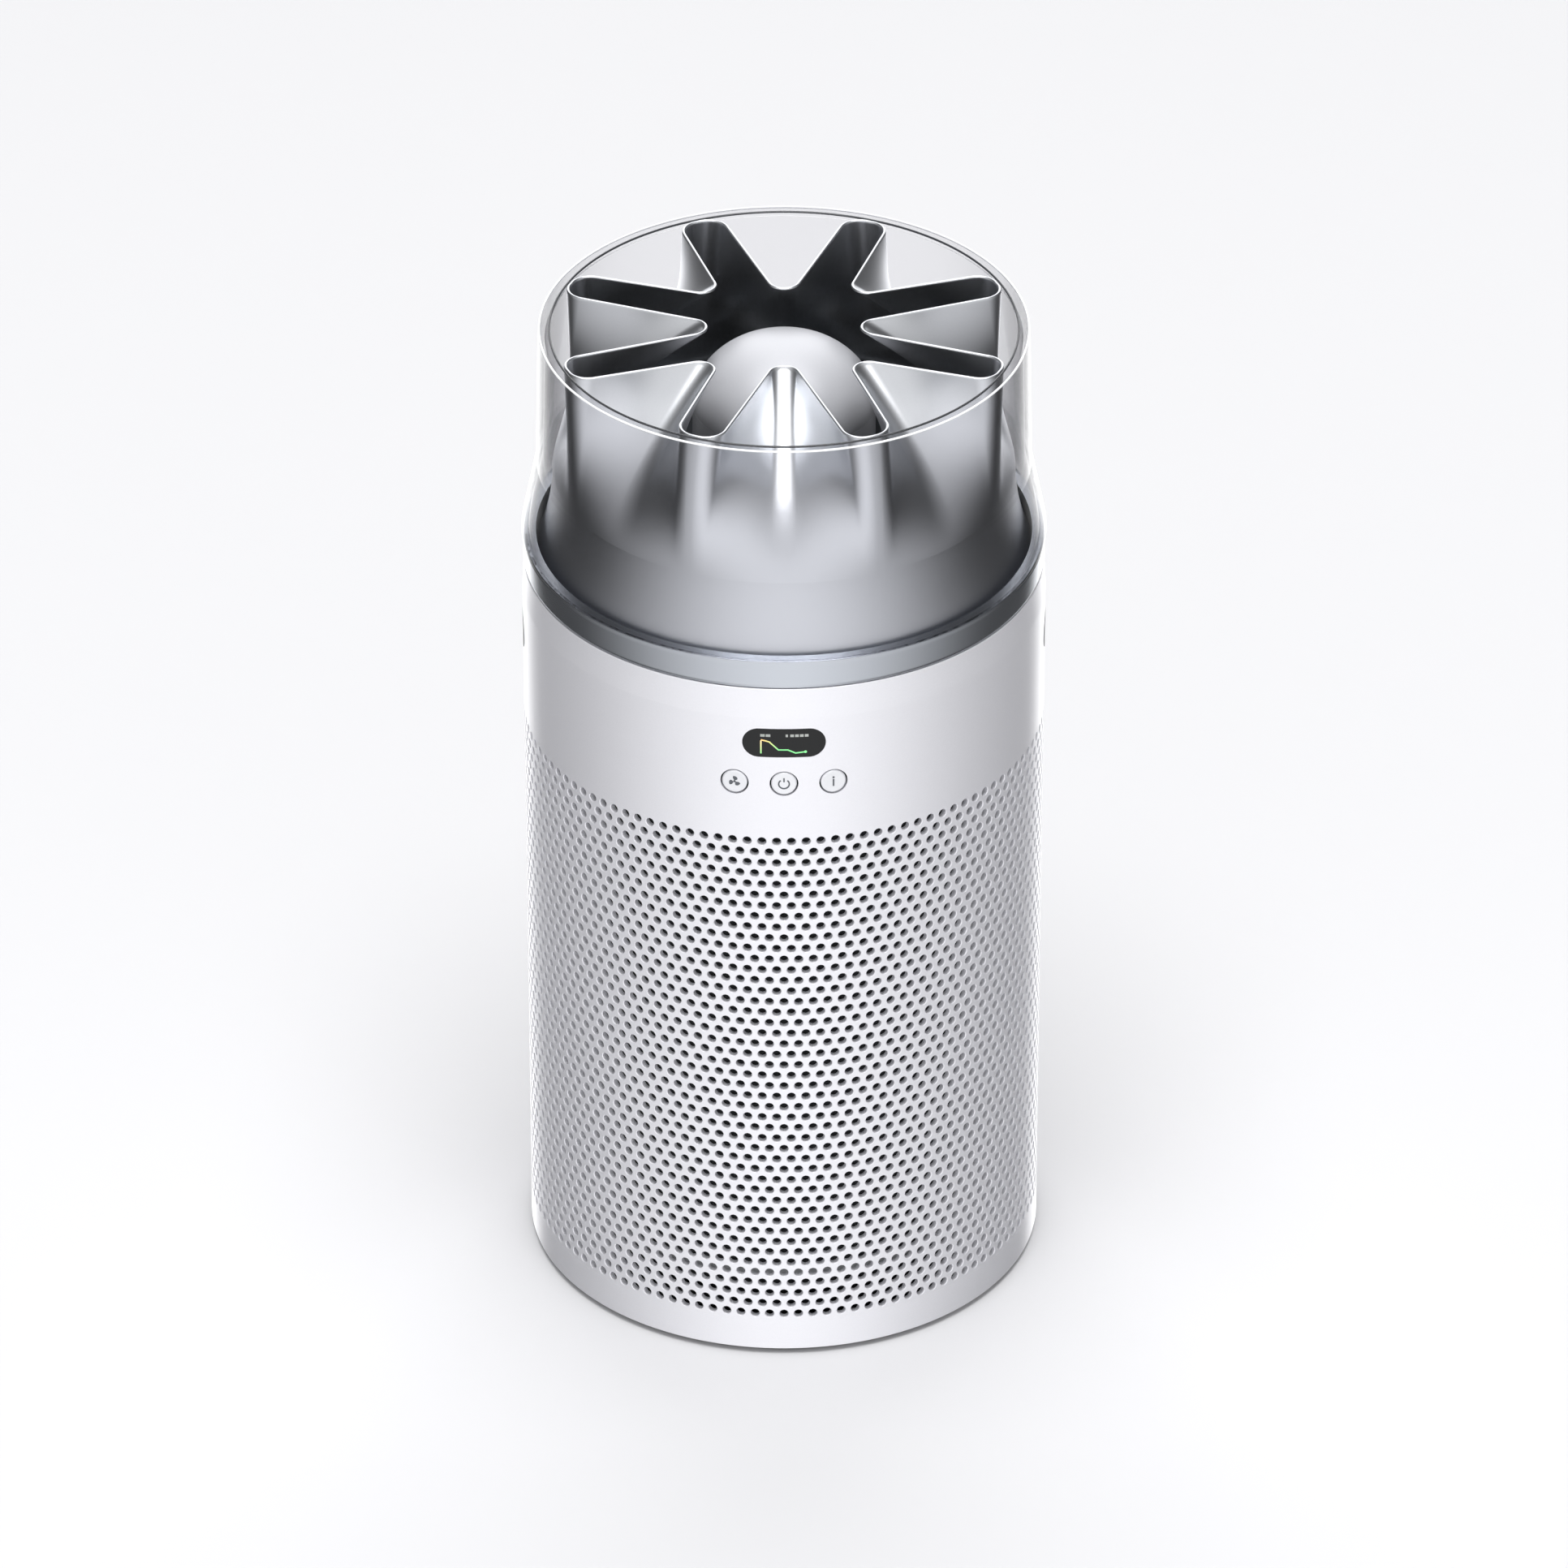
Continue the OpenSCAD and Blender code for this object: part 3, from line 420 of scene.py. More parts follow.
def holeCell():  # one six-sided piece of skin with its hole, flat: x around, z up, y into the wall
    half = holePitch / 2
    corners = [(half, cornerLow), (0, cornerHigh), (-half, cornerLow),
               (-half, -cornerLow), (0, -cornerHigh), (half, -cornerLow)]
    edge = []
    for i, corner in enumerate(corners):
        before = corners[i - 1]
        edge.append(((corner[0] + before[0]) / 2, (corner[1] + before[1]) / 2))
        edge.append(corner)
    count = skin["sides"]
    turns = [2 * math.pi * i / count for i in range(count)]
    mouth = skin["holeRadius"] + skin["chamfer"]
    rings = [[(x, 0, z) for x, z in edge],
             [(mouth * math.cos(t), 0, mouth * math.sin(t)) for t in turns],
             [(skin["holeRadius"] * math.cos(t), skin["chamfer"], skin["holeRadius"] * math.sin(t))
              for t in turns],
             [(skin["holeRadius"] * math.cos(t), skin["wall"], skin["holeRadius"] * math.sin(t))
              for t in turns],
             [(x, skin["wall"], z) for x, z in edge]]
    faces = []
    for k in range(len(rings) - 1):
        for i in range(count):
            j = (i + 1) % count
            faces.append((k * count + i, k * count + j, (k + 1) * count + j, (k + 1) * count + i))
    return meshPiece("holeCell", [p for ring in rings for p in ring], faces)


def edgeFiller():  # what closes the zigzag end of the holes up to a level edge
    half, wall = holePitch / 2, skin["wall"]
    points = [(half - half, 0, cornerHigh), (half, 0, cornerLow), (2 * half, 0, cornerHigh),
              (0, wall, cornerHigh), (half, wall, cornerLow), (2 * half, wall, cornerHigh)]
    middle = [((points[0][0] + points[1][0]) / 2, 0, (cornerHigh + cornerLow) / 2),
              ((points[1][0] + points[2][0]) / 2, 0, (cornerHigh + cornerLow) / 2)]
    deep = [(x, wall, z) for x, _, z in middle]
    points += middle + deep
    faces = [(0, 6, 1, 7, 2), (3, 5, 9, 4, 8), (0, 2, 5, 3)]
    return meshPiece("edgeFiller", points, faces)


def skinTree():
    tree, given = newTree("perforatedSkin", [
        ("Cell", "Object"), ("Filler", "Object"),
        ("Columns", "Int"), ("Rows", "Int"), ("First Column", "Int"),
        ("Hole Pitch", "Float"), ("Row Pitch", "Float"), ("Top Row", "Float"), ("Radius", "Float"),
        ("Material", "Material")])

    values = {socket.name: socket for socket in given if socket.name}
    values.update({"zero": 0.0, "half": 0.5, "one": 1.0, "lastStep": 1.5, "two": 2.0, "minus": -1.0})
    values["index"] = addNode(tree, "GeometryNodeInputIndex").outputs[0]
    for name, operation, a, b in (
            ("count", "MULTIPLY", "Columns", "Rows"),
            ("indexMiddle", "ADD", "index", "half"),
            ("rowShare", "DIVIDE", "indexMiddle", "Columns"),
            ("row", "FLOOR", "rowShare", "zero"),
            ("rowStart", "MULTIPLY", "row", "Columns"),
            ("inRow", "SUBTRACT", "index", "rowStart"),
            ("column", "ADD", "inRow", "First Column"),
            ("odd", "MODULO", "row", "two"),
            ("even", "SUBTRACT", "one", "odd"),
            ("stagger", "MULTIPLY", "even", "half"),
            ("shifted", "ADD", "column", "stagger"),
            ("x", "MULTIPLY", "shifted", "Hole Pitch"),
            ("drop", "MULTIPLY", "row", "Row Pitch"),
            ("z", "SUBTRACT", "Top Row", "drop"),
            ("beforeLast", "SUBTRACT", "Rows", "lastStep")):
        values[name] = addNode(tree, "ShaderNodeMath", {"operation": operation},
                               {0: values[a], 1: values[b]}).outputs[0]
    points = addNode(tree, "GeometryNodePoints", None, {"Count": values["count"]})
    spot = addNode(tree, "ShaderNodeCombineXYZ", None, {"X": values["x"], "Z": values["z"]}).outputs[0]
    placed = addNode(tree, "GeometryNodeSetPosition", None,
                     {"Geometry": points.outputs[0], "Position": spot})
    cell = addNode(tree, "GeometryNodeObjectInfo", None, {"Object": given["Cell"]})
    cells = addNode(tree, "GeometryNodeInstanceOnPoints", None,
                    {"Points": placed.outputs[0], "Instance": cell.outputs["Geometry"]})
    filler = addNode(tree, "GeometryNodeObjectInfo", None, {"Object": given["Filler"]})
    firstRow = addNode(tree, "FunctionNodeCompare", {"data_type": "FLOAT", "operation": "LESS_THAN"},
                       {0: values["row"], 1: 0.5}).outputs[0]
    lastRow = addNode(tree, "FunctionNodeCompare", {"data_type": "FLOAT", "operation": "GREATER_THAN"},
                      {0: values["row"], 1: values["beforeLast"]}).outputs[0]
    upper = addNode(tree, "GeometryNodeInstanceOnPoints", None,
                    {"Points": placed.outputs[0], "Selection": firstRow,
                     "Instance": filler.outputs["Geometry"]})
    lower = addNode(tree, "GeometryNodeInstanceOnPoints", None,
                    {"Points": placed.outputs[0], "Selection": lastRow,
                     "Instance": filler.outputs["Geometry"], "Rotation": (0, math.pi, 0)})
    joined = addNode(tree, "GeometryNodeJoinGeometry")
    for part in (cells, upper, lower):
        tree.links.new(part.outputs[0], joined.inputs[0])
    real = addNode(tree, "GeometryNodeRealizeInstances", None, {"Geometry": joined.outputs[0]})
    place = addNode(tree, "GeometryNodeInputPosition").outputs[0]
    flat = addNode(tree, "ShaderNodeSeparateXYZ", None, {"Vector": place})
    values.update({"flatX": flat.outputs["X"], "flatY": flat.outputs["Y"]})
    for name, operation, a, b in (
            ("turn", "DIVIDE", "flatX", "Radius"),
            ("reach", "SUBTRACT", "Radius", "flatY"),
            ("sine", "SINE", "turn", "zero"),
            ("cosine", "COSINE", "turn", "zero"),
            ("roundX", "MULTIPLY", "reach", "sine"),
            ("outward", "MULTIPLY", "reach", "cosine"),
            ("roundY", "MULTIPLY", "outward", "minus")):
        values[name] = addNode(tree, "ShaderNodeMath", {"operation": operation},
                               {0: values[a], 1: values[b]}).outputs[0]
    wrapped = addNode(tree, "ShaderNodeCombineXYZ", None, {
        "X": values["roundX"], "Y": values["roundY"], "Z": flat.outputs["Z"]}).outputs[0]
    bent = addNode(tree, "GeometryNodeSetPosition", None, {"Geometry": real.outputs[0], "Position": wrapped})
    finishTree(tree, bent.outputs[0], given["Material"])
    return tree


def roundNormals(piece, limit=0.9, angle=30):  # exact normals on faces that lie on a surface of revolution
    mesh = piece.data
    smoothPiece(piece, angle)
    loops, faces = len(mesh.loops), len(mesh.polygons)
    normals = np.empty(loops * 3, np.float32)
    mesh.corner_normals.foreach_get("vector", normals)
    normals = normals.reshape(-1, 3)
    corners = np.empty(loops, np.int32)
    mesh.loops.foreach_get("vertex_index", corners)
    places = np.empty(len(mesh.vertices) * 3, np.float32)
    mesh.vertices.foreach_get("co", places)
    places = places.reshape(-1, 3)[corners]
    flatNormals = np.empty(faces * 3, np.float32)
    mesh.polygons.foreach_get("normal", flatNormals)
    sizes = np.empty(faces, np.int32)
    mesh.polygons.foreach_get("loop_total", sizes)
    facing = np.repeat(flatNormals.reshape(-1, 3), sizes, axis=0)
    radial = places[:, :2] / np.maximum(np.linalg.norm(places[:, :2], axis=1, keepdims=True), 1e-9)
    along = (facing[:, :2] * radial).sum(1)
    chosen = np.abs(along) > limit
    level = np.sqrt(np.maximum(0, 1 - facing[:, 2] ** 2))[:, None] * np.sign(along)[:, None]
    exact = np.concatenate([radial * level, facing[:, 2:3]], axis=1)
    normals[chosen] = exact[chosen]
    mesh.normals_split_custom_set(normals.tolist())
    return piece


cellObject, fillerObject = holeCell(), edgeFiller()
perforations = skinTree()
columnsEach = skin["columns"] // skin["panels"]
for panel in range(skin["panels"]):
    grille = bakeNodes("skinGrille%d" % (panel + 1), perforations, {
        "Cell": cellObject, "Filler": fillerObject, "Columns": columnsEach, "Rows": skin["rows"],
        "First Column": panel * columnsEach, "Hole Pitch": holePitch, "Row Pitch": skin["rowPitch"],
        "Top Row": skin["firstRow"], "Radius": bodyRadius, "Material": finishes["silver_paint"]})
    cleanNormals(grille)
    roundNormals(grille)
    placePiece(grille, "body", "silver_paint", ["body_shell"])
for helper in (cellObject, fillerObject):
    bpy.data.objects.remove(helper)
print("  faces in one panel:", len(grille.data.polygons))

print("stage: plain skin")
band = {
    "openingSteps": 48,
    "taperStart": bodyTop - 14.5 * mm,
    "taper": 0.8 * mm,
    "topRound": 0.7 * mm,
    "flange": bodyRadius - 12 * mm,
    "flangeLow": 5 * mm,
    "flangeHigh": 7 * mm,
    "cutDepth": 8 * mm,
}
skinWallInside = bodyRadius - skin["wall"]
gridTop = skin["firstRow"] + cornerHigh
gridFoot = skin["firstRow"] - (skin["rows"] - 1) * skin["rowPitch"] - cornerHigh


def stadiumOutline(width, height, steps):
    reach = (width - height) / 2
    points = []
    for side in (1, -1):
        for i in range(steps // 2 + 1):
            turn = math.pi * i / (steps // 2) - math.pi / 2
            points.append((side * (reach + height / 2 * math.cos(turn)), side * height / 2 * math.sin(turn)))
    return points


def radialPrism(name, outline, angle, z, near, far):  # an outline pushed outwards from the axis
    turn = math.radians(angle)
    across, out = (math.cos(turn), math.sin(turn)), (math.sin(turn), -math.cos(turn))
    points = [(across[0] * x + out[0] * d, across[1] * x + out[1] * d, z + h)
              for d in (near, far) for x, h in outline]
    count = len(outline)
    faces = [tuple(range(count)), tuple(range(2 * count - 1, count - 1, -1))]
    faces += [(i, (i + 1) % count, count + (i + 1) % count, count + i) for i in range(count)]
    return cleanNormals(meshPiece(name, points, faces))


def cutOut(piece, cutters):
    for cutter in cutters:
        modifier = piece.modifiers.new("cut", "BOOLEAN")
        modifier.operation = "DIFFERENCE"
        modifier.solver = "EXACT"
        modifier.object = cutter
    graph = bpy.context.evaluated_depsgraph_get()
    graph.update()
    result = bpy.data.meshes.new_from_object(piece.evaluated_get(graph))
    piece.modifiers.clear()
    piece.data = result
    for cutter in cutters:
        bpy.data.objects.remove(cutter)
    return piece


def nodeCentre(node):
    low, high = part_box(node)
    return (low + high) / 2


def openingFor(node, angle, width, height):  # a cutter for a stadium opening at a node's place
    outline = stadiumOutline(width, height, band["openingSteps"])
    return radialPrism("cutter", outline, angle, nodeCentre(node).z,
                       bodyRadius - band["cutDepth"], bodyRadius + band["cutDepth"])


controls = {
    "angle": 10.75,  # degrees between neighbouring round buttons
    "opening": 12.5 * mm,
    "release": (27 * mm, 15 * mm),
    "capRadius": 5.65 * mm,
    "capRound": 0.7 * mm,
    "capDeep": 3.4 * mm,
    "capSides": 64,
    "middle": 0.0001,  # share of the radius where the flat centre starts
    "dish": 0.12 * mm,
    "iconLift": 0.03 * mm,
    "iconDepth": 0.25 * mm,
    "lineWidth": 0.62 * mm,
}
displayLow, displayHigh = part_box("display_lens")
displaySize = (displayHigh.x - displayLow.x + 0.4 * mm, displayHigh.z - displayLow.z + 0.4 * mm)
bandProfile = rounded([(skinWallInside, gridTop), (bodyRadius, gridTop), (bodyRadius, band["taperStart"]),
                       (bodyRadius - band["taper"], bodyTop), (skinWallInside, bodyTop)],
                      [0, 0, 0, band["topRound"], 0.4 * mm])
skinBand = lathe("skinBand", bandProfile, 448)
cutters = [openingFor("display_lens", 0, *displaySize)]
for button, angle in (("fan_button", -controls["angle"]), ("power_button", 0),
                      ("info_button", controls["angle"])):
    cutters.append(openingFor(button, angle, controls["opening"], controls["opening"]))
for button, angle in (("release_button_left", -90), ("release_button_right", 90)):
    cutters.append(openingFor(button, angle, *controls["release"]))
cutOut(skinBand, cutters)
roundNormals(skinBand)
placePiece(skinBand, "body", "silver_paint", ["body_shell"])

footProfile = [(skinWallInside, gridFoot), (skinWallInside, band["flangeHigh"]),
               (band["flange"], band["flangeHigh"]), (band["flange"], band["flangeLow"]),
               (skinWallInside, band["flangeLow"]), (skinWallInside, bodyFoot), (bodyRadius, bodyFoot),
               (bodyRadius, gridFoot)]
skinFoot = lathe("skinFoot", rounded(footProfile, [0, 0, 0, 0, 0, 0, 0.5 * mm, 0]), 448)
inletLow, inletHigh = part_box("power_inlet")
inletHalf = (inletHigh.x - inletLow.x) / 2 + 0.15 * mm
inletTall = (inletHigh.z - inletLow.z) / 2 + 0.15 * mm
inletOutline = [(-inletHalf, -inletTall), (inletHalf, -inletTall),
                (inletHalf, inletTall), (-inletHalf, inletTall)]
cutOut(skinFoot, [radialPrism("cutter", inletOutline, 180, nodeCentre("power_inlet").z,
                              bodyRadius - band["cutDepth"], bodyRadius + band["cutDepth"])])
roundNormals(skinFoot)
placePiece(skinFoot, "body", "silver_paint", ["body_shell"])

print("stage: fluted nozzle")
nozzle = {
    "wall": 1.5 * mm,
    "endRadius": 99.7 * mm,  # where the channels end
    "noseRadius": 7.5 * mm,
    "squareStart": 19 * mm,  # where the flanks of the square-on wedges meet
    "squareAngle": 20.4,
    "diagonalStart": 35.7 * mm,
    "diagonalAngle": 17.5,
    "cornerRadius": 8 * mm,
    "roundBelow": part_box("star_nozzle")[0].z,
    "levels": 46,
    "rimSteps": 6,
}


def unit(angle):
    return np.array([math.cos(math.radians(angle)), math.sin(math.radians(angle))])


def arcPoints(centre, radius, start, end, steps):
    return [centre + radius * unit(start + (end - start) * i / steps) for i in range(steps + 1)]


def channelCorner(start, angle, side):  # centre of the round between a flank and the channel's end
    radius, along = nozzle["cornerRadius"], unit(angle)
    base = start + side * radius * np.array([-along[1], along[0]])
    run = float(base @ along)
    reach = math.sqrt((nozzle["endRadius"] - radius) ** 2 - float(base @ base) + run * run)
    return base + along * (reach - run)


def headingOf(point):
    return math.degrees(math.atan2(point[1], point[0]))


squareNose = unit(0) * (nozzle["squareStart"]
                        + nozzle["noseRadius"] / math.sin(math.radians(nozzle["squareAngle"])))
diagonalNose = unit(45) * (nozzle["diagonalStart"]
                           + nozzle["noseRadius"] / math.sin(math.radians(45 - nozzle["diagonalAngle"])))
squareCorner = channelCorner(np.array([nozzle["squareStart"], 0]), nozzle["squareAngle"], 1)
diagonalCorner = channelCorner(unit(45) * nozzle["diagonalStart"], nozzle["diagonalAngle"], -1)


def eighthOutline(grow):  # from a square-on wedge's nose, round a channel's end, to a diagonal wedge's nose
    nose, corner = nozzle["noseRadius"] - grow, nozzle["cornerRadius"] + grow
    square, diagonal = nozzle["squareAngle"], nozzle["diagonalAngle"]
    first = arcPoints(squareNose, nose, 180, 90 + square, 9)
    turnA = arcPoints(squareCorner, corner, square - 90, headingOf(squareCorner), 9)
    turnB = arcPoints(diagonalCorner, corner, headingOf(diagonalCorner), diagonal + 90, 9)
    last = arcPoints(diagonalNose, nose, diagonal - 90, -135, 8)
    flankA = [first[-1] + (turnA[0] - first[-1]) * i / 11 for i in range(1, 11)]
    flankB = [turnB[-1] + (last[0] - turnB[-1]) * i / 9 for i in range(1, 9)]
    return np.array(first + flankA + turnA + turnB[1:] + flankB + last)


def outlineShares(outline):
    steps = np.linalg.norm(np.diff(outline, axis=0), axis=1)
    return np.concatenate([[0], np.cumsum(steps)]) / steps.sum()


nozzleShares = outlineShares(eighthOutline(0))


def nozzleRing(grow, blend):  # a full ring, blend 0 is the star and 1 the circle
    star = eighthOutline(grow)
    turns = np.radians(45 * nozzleShares)
    circle = (nozzle["endRadius"] + grow) * np.stack([np.cos(turns), np.sin(turns)], 1)
    part = star * (1 - blend) + circle * blend
    quarter = np.concatenate([part, part[-2:0:-1, ::-1]])
    rings = []
    for q in range(4):
        c, s = math.cos(q * math.pi / 2), math.sin(q * math.pi / 2)
        rings.append(quarter @ np.array([[c, s], [-s, c]]))
    return np.concatenate(rings)


def starNozzle():
    top, foot = rimTop, nozzle["roundBelow"]
    half = nozzle["wall"] / 2
    path = []  # (how far through the wall, height, blend), up the inside, over the rim and down the outside
    heights = [(k / nozzle["levels"]) ** 1.2 for k in range(nozzle["levels"], 0, -1)]
    usable = (top - half - foot)
    for u in heights:
        path.append((0.0, top - half - usable * u, 1 - (1 - u) ** 1.5))
    for k in range(nozzle["rimSteps"] + 1):
        turn = math.pi * k / nozzle["rimSteps"]
        path.append((half - half * math.cos(turn), top - half + half * math.sin(turn), 0.0))
    for u in reversed(heights):
        path.append((nozzle["wall"], top - half - usable * u, 1 - (1 - u) ** 1.5))
    points, count = [], 0
    for grow, z, blend in path:
        ring = nozzleRing(grow, blend)
        count = len(ring)
        points += [(x, y, z) for x, y in ring]
    faces = []
    levels = len(path)
    for k in range(levels):
        m = (k + 1) % levels
        for i in range(count):
            j = (i + 1) % count
            faces.append((k * count + i, k * count + j, m * count + j, m * count + i))
    return cleanNormals(meshPiece("starNozzle", points, faces))


placePiece(smoothPiece(starNozzle(), 50), "head", "nozzle_grey", ["star_nozzle"])

skirt = {"steps": 40, "foot": bodyTop + 5.5 * mm, "flare": 7.3 * mm, "bottom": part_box("nozzle_base")[0].z}
skirtTop = nozzle["roundBelow"]
skirtInner = [(nozzle["endRadius"] + skirt["flare"] * (i / skirt["steps"]) ** 2,
               skirtTop - (skirtTop - skirt["foot"]) * i / skirt["steps"])
              for i in range(skirt["steps"] + 1)]
skirtInner.append((skirtInner[-1][0], skirt["bottom"]))
skirtOuter = [(r + nozzle["wall"], z) for r, z in reversed(skirtInner)]
nozzleSkirt = lathe("nozzleSkirt", skirtInner + skirtOuter)
placePiece(smoothPiece(nozzleSkirt), "head", "nozzle_grey", ["nozzle_base"])

print("stage: clear shell, collar and dome")
shell = {
    "wall": 2.8 * mm,
    "foot": collarTop + 2.6 * mm,
    "knee": bodyTop + 49.5 * mm,
    "kneeRadius": bodyRadius - 6.8 * mm,
    "rimRadius": bodyRadius - 8.3 * mm,
    "lipRadius": bodyRadius - 13.5 * mm,
    "lip": 2.4 * mm,
}
shellProfile = [
    (bodyRadius - shell["wall"], collarTop), (bodyRadius, collarTop), (bodyRadius, shell["foot"]),
    (shell["kneeRadius"], shell["knee"]), (shell["rimRadius"], rimTop), (shell["lipRadius"], rimTop),
    (shell["lipRadius"], rimTop - shell["lip"]),
    (shell["rimRadius"] - shell["wall"], rimTop - shell["lip"] - 1 * mm),
    (shell["kneeRadius"] - shell["wall"], shell["knee"]), (bodyRadius - shell["wall"], shell["foot"])]
shellRounds = [0.4 * mm, 0.8 * mm, 9 * mm, 7 * mm, 1.2 * mm, 0.9 * mm, 0.6 * mm, 1.5 * mm, 7 * mm, 9 * mm]
clearShell = lathe("clearShell", rounded(shellProfile, shellRounds, 8), 320)
placePiece(smoothPiece(clearShell, 50), "head", "clear_plastic", ["clear_shell"])

# Two thin rings on the clear rim: the outer one is a painted highlight and the inner one a painted shade
# line, in place of the light and dark lines of the clear edge.
rimBead = {"radius": 0.5 * mm, "steps": 12}
for title, reach, finish in (("Outer", shell["rimRadius"] - rimBead["radius"],
                              mouldedPlastic("paintedHighlightRimEdge", "#f2f3f5", 0.25, 0.8, 0.002)),
                             ("Inner", shell["lipRadius"] + rimBead["radius"] * 0.8,
                              mouldedPlastic("paintedShadeRimEdge", "#34363a", 0.2, 0.8, 0.002))):
    paintedLineProfile = [(reach + rimBead["radius"] * math.cos(2 * math.pi * i / rimBead["steps"]),
             rimTop - rimBead["radius"] + rimBead["radius"] * math.sin(2 * math.pi * i / rimBead["steps"]))
            for i in range(rimBead["steps"])]
    placePiece(smoothPiece(lathe("rimBead" + title, paintedLineProfile, 320), 60), "head", "clear_plastic", finish=finish)

collar = {"inner": bodyRadius - 6.2 * mm, "skirt": bodyRadius - 3.8 * mm, "face": bodyRadius - 0.6 * mm,
          "low": bodyTop + 0.4 * mm, "plate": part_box("collar_ring")[0].z}
collarProfile = [(collar["inner"], collar["plate"]), (collar["skirt"], collar["plate"]),
                 (collar["skirt"], collar["low"]), (collar["face"] - 0.6 * mm, collar["low"]),
                 (collar["face"], collar["low"] + 1.6 * mm), (collar["face"], collarTop - 1.6 * mm),
                 (collar["face"] - 0.5 * mm, collarTop), (collar["inner"], collarTop)]
collarRounds = [0, 0, 0, 0.3 * mm, 2 * mm, 2 * mm, 0.3 * mm, 0]
collarRing = lathe("collarRing", rounded(collarProfile, collarRounds), 320)
placePiece(smoothPiece(collarRing, 50), "head", "collar_grey", ["collar_ring"])

dome = {"steps": 40, "wall": 2 * mm, "radius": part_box("centre_dome")[1].x}
domeLow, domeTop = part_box("centre_dome")[0].z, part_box("centre_dome")[1].z


def domeArc(inset):
    return [((dome["radius"] - inset) * math.cos(math.pi / 2 * i / dome["steps"]),
             domeLow + (domeTop - domeLow - inset) * math.sin(math.pi / 2 * i / dome["steps"]))
            for i in range(dome["steps"] + 1)]


domeProfile = domeArc(0)[:-1] + [(0, domeTop), (0, domeTop - dome["wall"])] + domeArc(dome["wall"])[-2::-1]
placePiece(smoothPiece(lathe("outletDome", domeProfile, 160)), "head", "dome_silver", ["centre_dome"])
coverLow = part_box("motor_cover")[0].z
coverProfile = rounded([(dome["radius"] - dome["wall"], coverLow), (dome["radius"], coverLow),
                        (dome["radius"], domeLow), (dome["radius"] - dome["wall"], domeLow)],
                       [0, 0.3 * mm, 0.4 * mm, 0])
placePiece(smoothPiece(lathe("motorSleeve", coverProfile, 160)), "head", "dome_silver", ["motor_cover"])

print("stage: buttons and display")


def onSkin(angle, z, across, up, lift):  # a point on the skin's surface, given flat offsets from its centre
    turn = math.radians(angle) + across / bodyRadius
    reach = bodyRadius + lift
    return (reach * math.sin(turn), -reach * math.cos(turn), z + up)


def buttonCap(name, node, angle):
    z = nodeCentre(node).z
    rings, sides = [], controls["capSides"]
    radius, edge = controls["capRadius"], controls["capRound"]
    rings += [(radius * t, -controls["dish"] * (1 - t * t)) for t in (controls["middle"], 0.25, 0.5, 0.75)]
    rings += [(radius - edge + edge * math.sin(math.pi / 2 * i / 5),
               -edge * (1 - math.cos(math.pi / 2 * i / 5))) for i in range(6)]
    rings += [(radius, -controls["capDeep"]), (controls["middle"] * mm, -controls["capDeep"])]
    points = []
    for r, lift in rings:
        for i in range(sides):
            turn = 2 * math.pi * i / sides
            points.append(onSkin(angle, z, r * math.cos(turn), r * math.sin(turn), lift))
    faces = []
    for k in range(len(rings) - 1):
        for i in range(sides):
            j = (i + 1) % sides
            faces.append((k * sides + i, k * sides + j, (k + 1) * sides + j, (k + 1) * sides + i))
    piece = cleanNormals(meshPiece(name, points, faces))
    return smoothPiece(piece, 40)


def strip(path, width):  # a flat line of that width along a path, as pairs of edge points
    path = np.array(path, float)
    left, right = [], []
    for i, point in enumerate(path):
        before = path[max(0, i - 1)]
        after = path[min(len(path) - 1, i + 1)]
        along = (after - before) / max(np.linalg.norm(after - before), 1e-12)
        side = np.array([-along[1], along[0]]) * width / 2
        left.append(point + side)
        right.append(point - side)
    return [left[i:i + 2] + right[i:i + 2][::-1] for i in range(len(path) - 1)]


def inlay(name, patches, angle, z, lift, depth):  # flat shapes laid on the curved skin as thin closed solids
    points, faces = [], []
    for patch in patches:
        first, count = len(points), len(patch)
        for level in (lift, lift - depth):
            points += [onSkin(angle, z, p[0], p[1], level) for p in patch]
        faces.append(tuple(range(first, first + count)))
        faces.append(tuple(range(first + 2 * count - 1, first + count - 1, -1)))
        for i in range(count):
            j = (i + 1) % count
            faces.append((first + i, first + count + i, first + count + j, first + j))
    piece = meshPiece(name, points, faces)
    return cleanNormals(piece)


def circlePath(centre, radius, start, end, steps=20):
    return [np.array(centre) + radius * unit(start + (end - start) * i / steps) for i in range(steps + 1)]


def diskPatch(centre, radius):
    return circlePath(centre, radius, 0, 360, 24)[:-1]


icons = {
    "hub": 0.5 * mm,
    "bladeStart": 0.4 * mm,
    "bladeLength": 2.3 * mm,
    "bladeSweep": 52,  # degrees, of the rounded side
    "bladeBack": 14,  # degrees, of the straighter side
    "ring": 2.3 * mm,
    "ringDown": 0.2 * mm,
    "ringGap": 40,  # degrees each side of the top
    "bar": (2.8 * mm, 0.8 * mm),
    "dot": (2.05 * mm, 0.48 * mm),  # height and radius
    "letterBar": (1.1 * mm, -2.35 * mm),
    "letterWidth": 0.7 * mm,
}


def fanIcon():
    patches = [diskPatch((0, 0), icons["hub"])]
    for k in range(3):
        base = 90 + 120 * k
        outline = []
        for i in range(13):
            t = i / 12
            reach = icons["bladeStart"] + icons["bladeLength"] * t
            outline.append(reach * unit(base - icons["bladeSweep"] * math.sin(math.pi * t) ** 0.7 + 6 * t))
        for i in range(12, -1, -1):
            t = i / 12
            reach = icons["bladeStart"] + icons["bladeLength"] * t
            outline.append(reach * unit(base + 6 + icons["bladeBack"] * math.sin(math.pi * t) + 4 * t))
        patches.append(outline)
    return patches


def powerIcon():
    start, end = 90 + icons["ringGap"], 450 - icons["ringGap"]
    arc = circlePath((0, -icons["ringDown"]), icons["ring"], start, end, 30)
    bar = [(0, up) for up in icons["bar"]]
    return strip(arc, controls["lineWidth"]) + strip(bar, controls["lineWidth"])


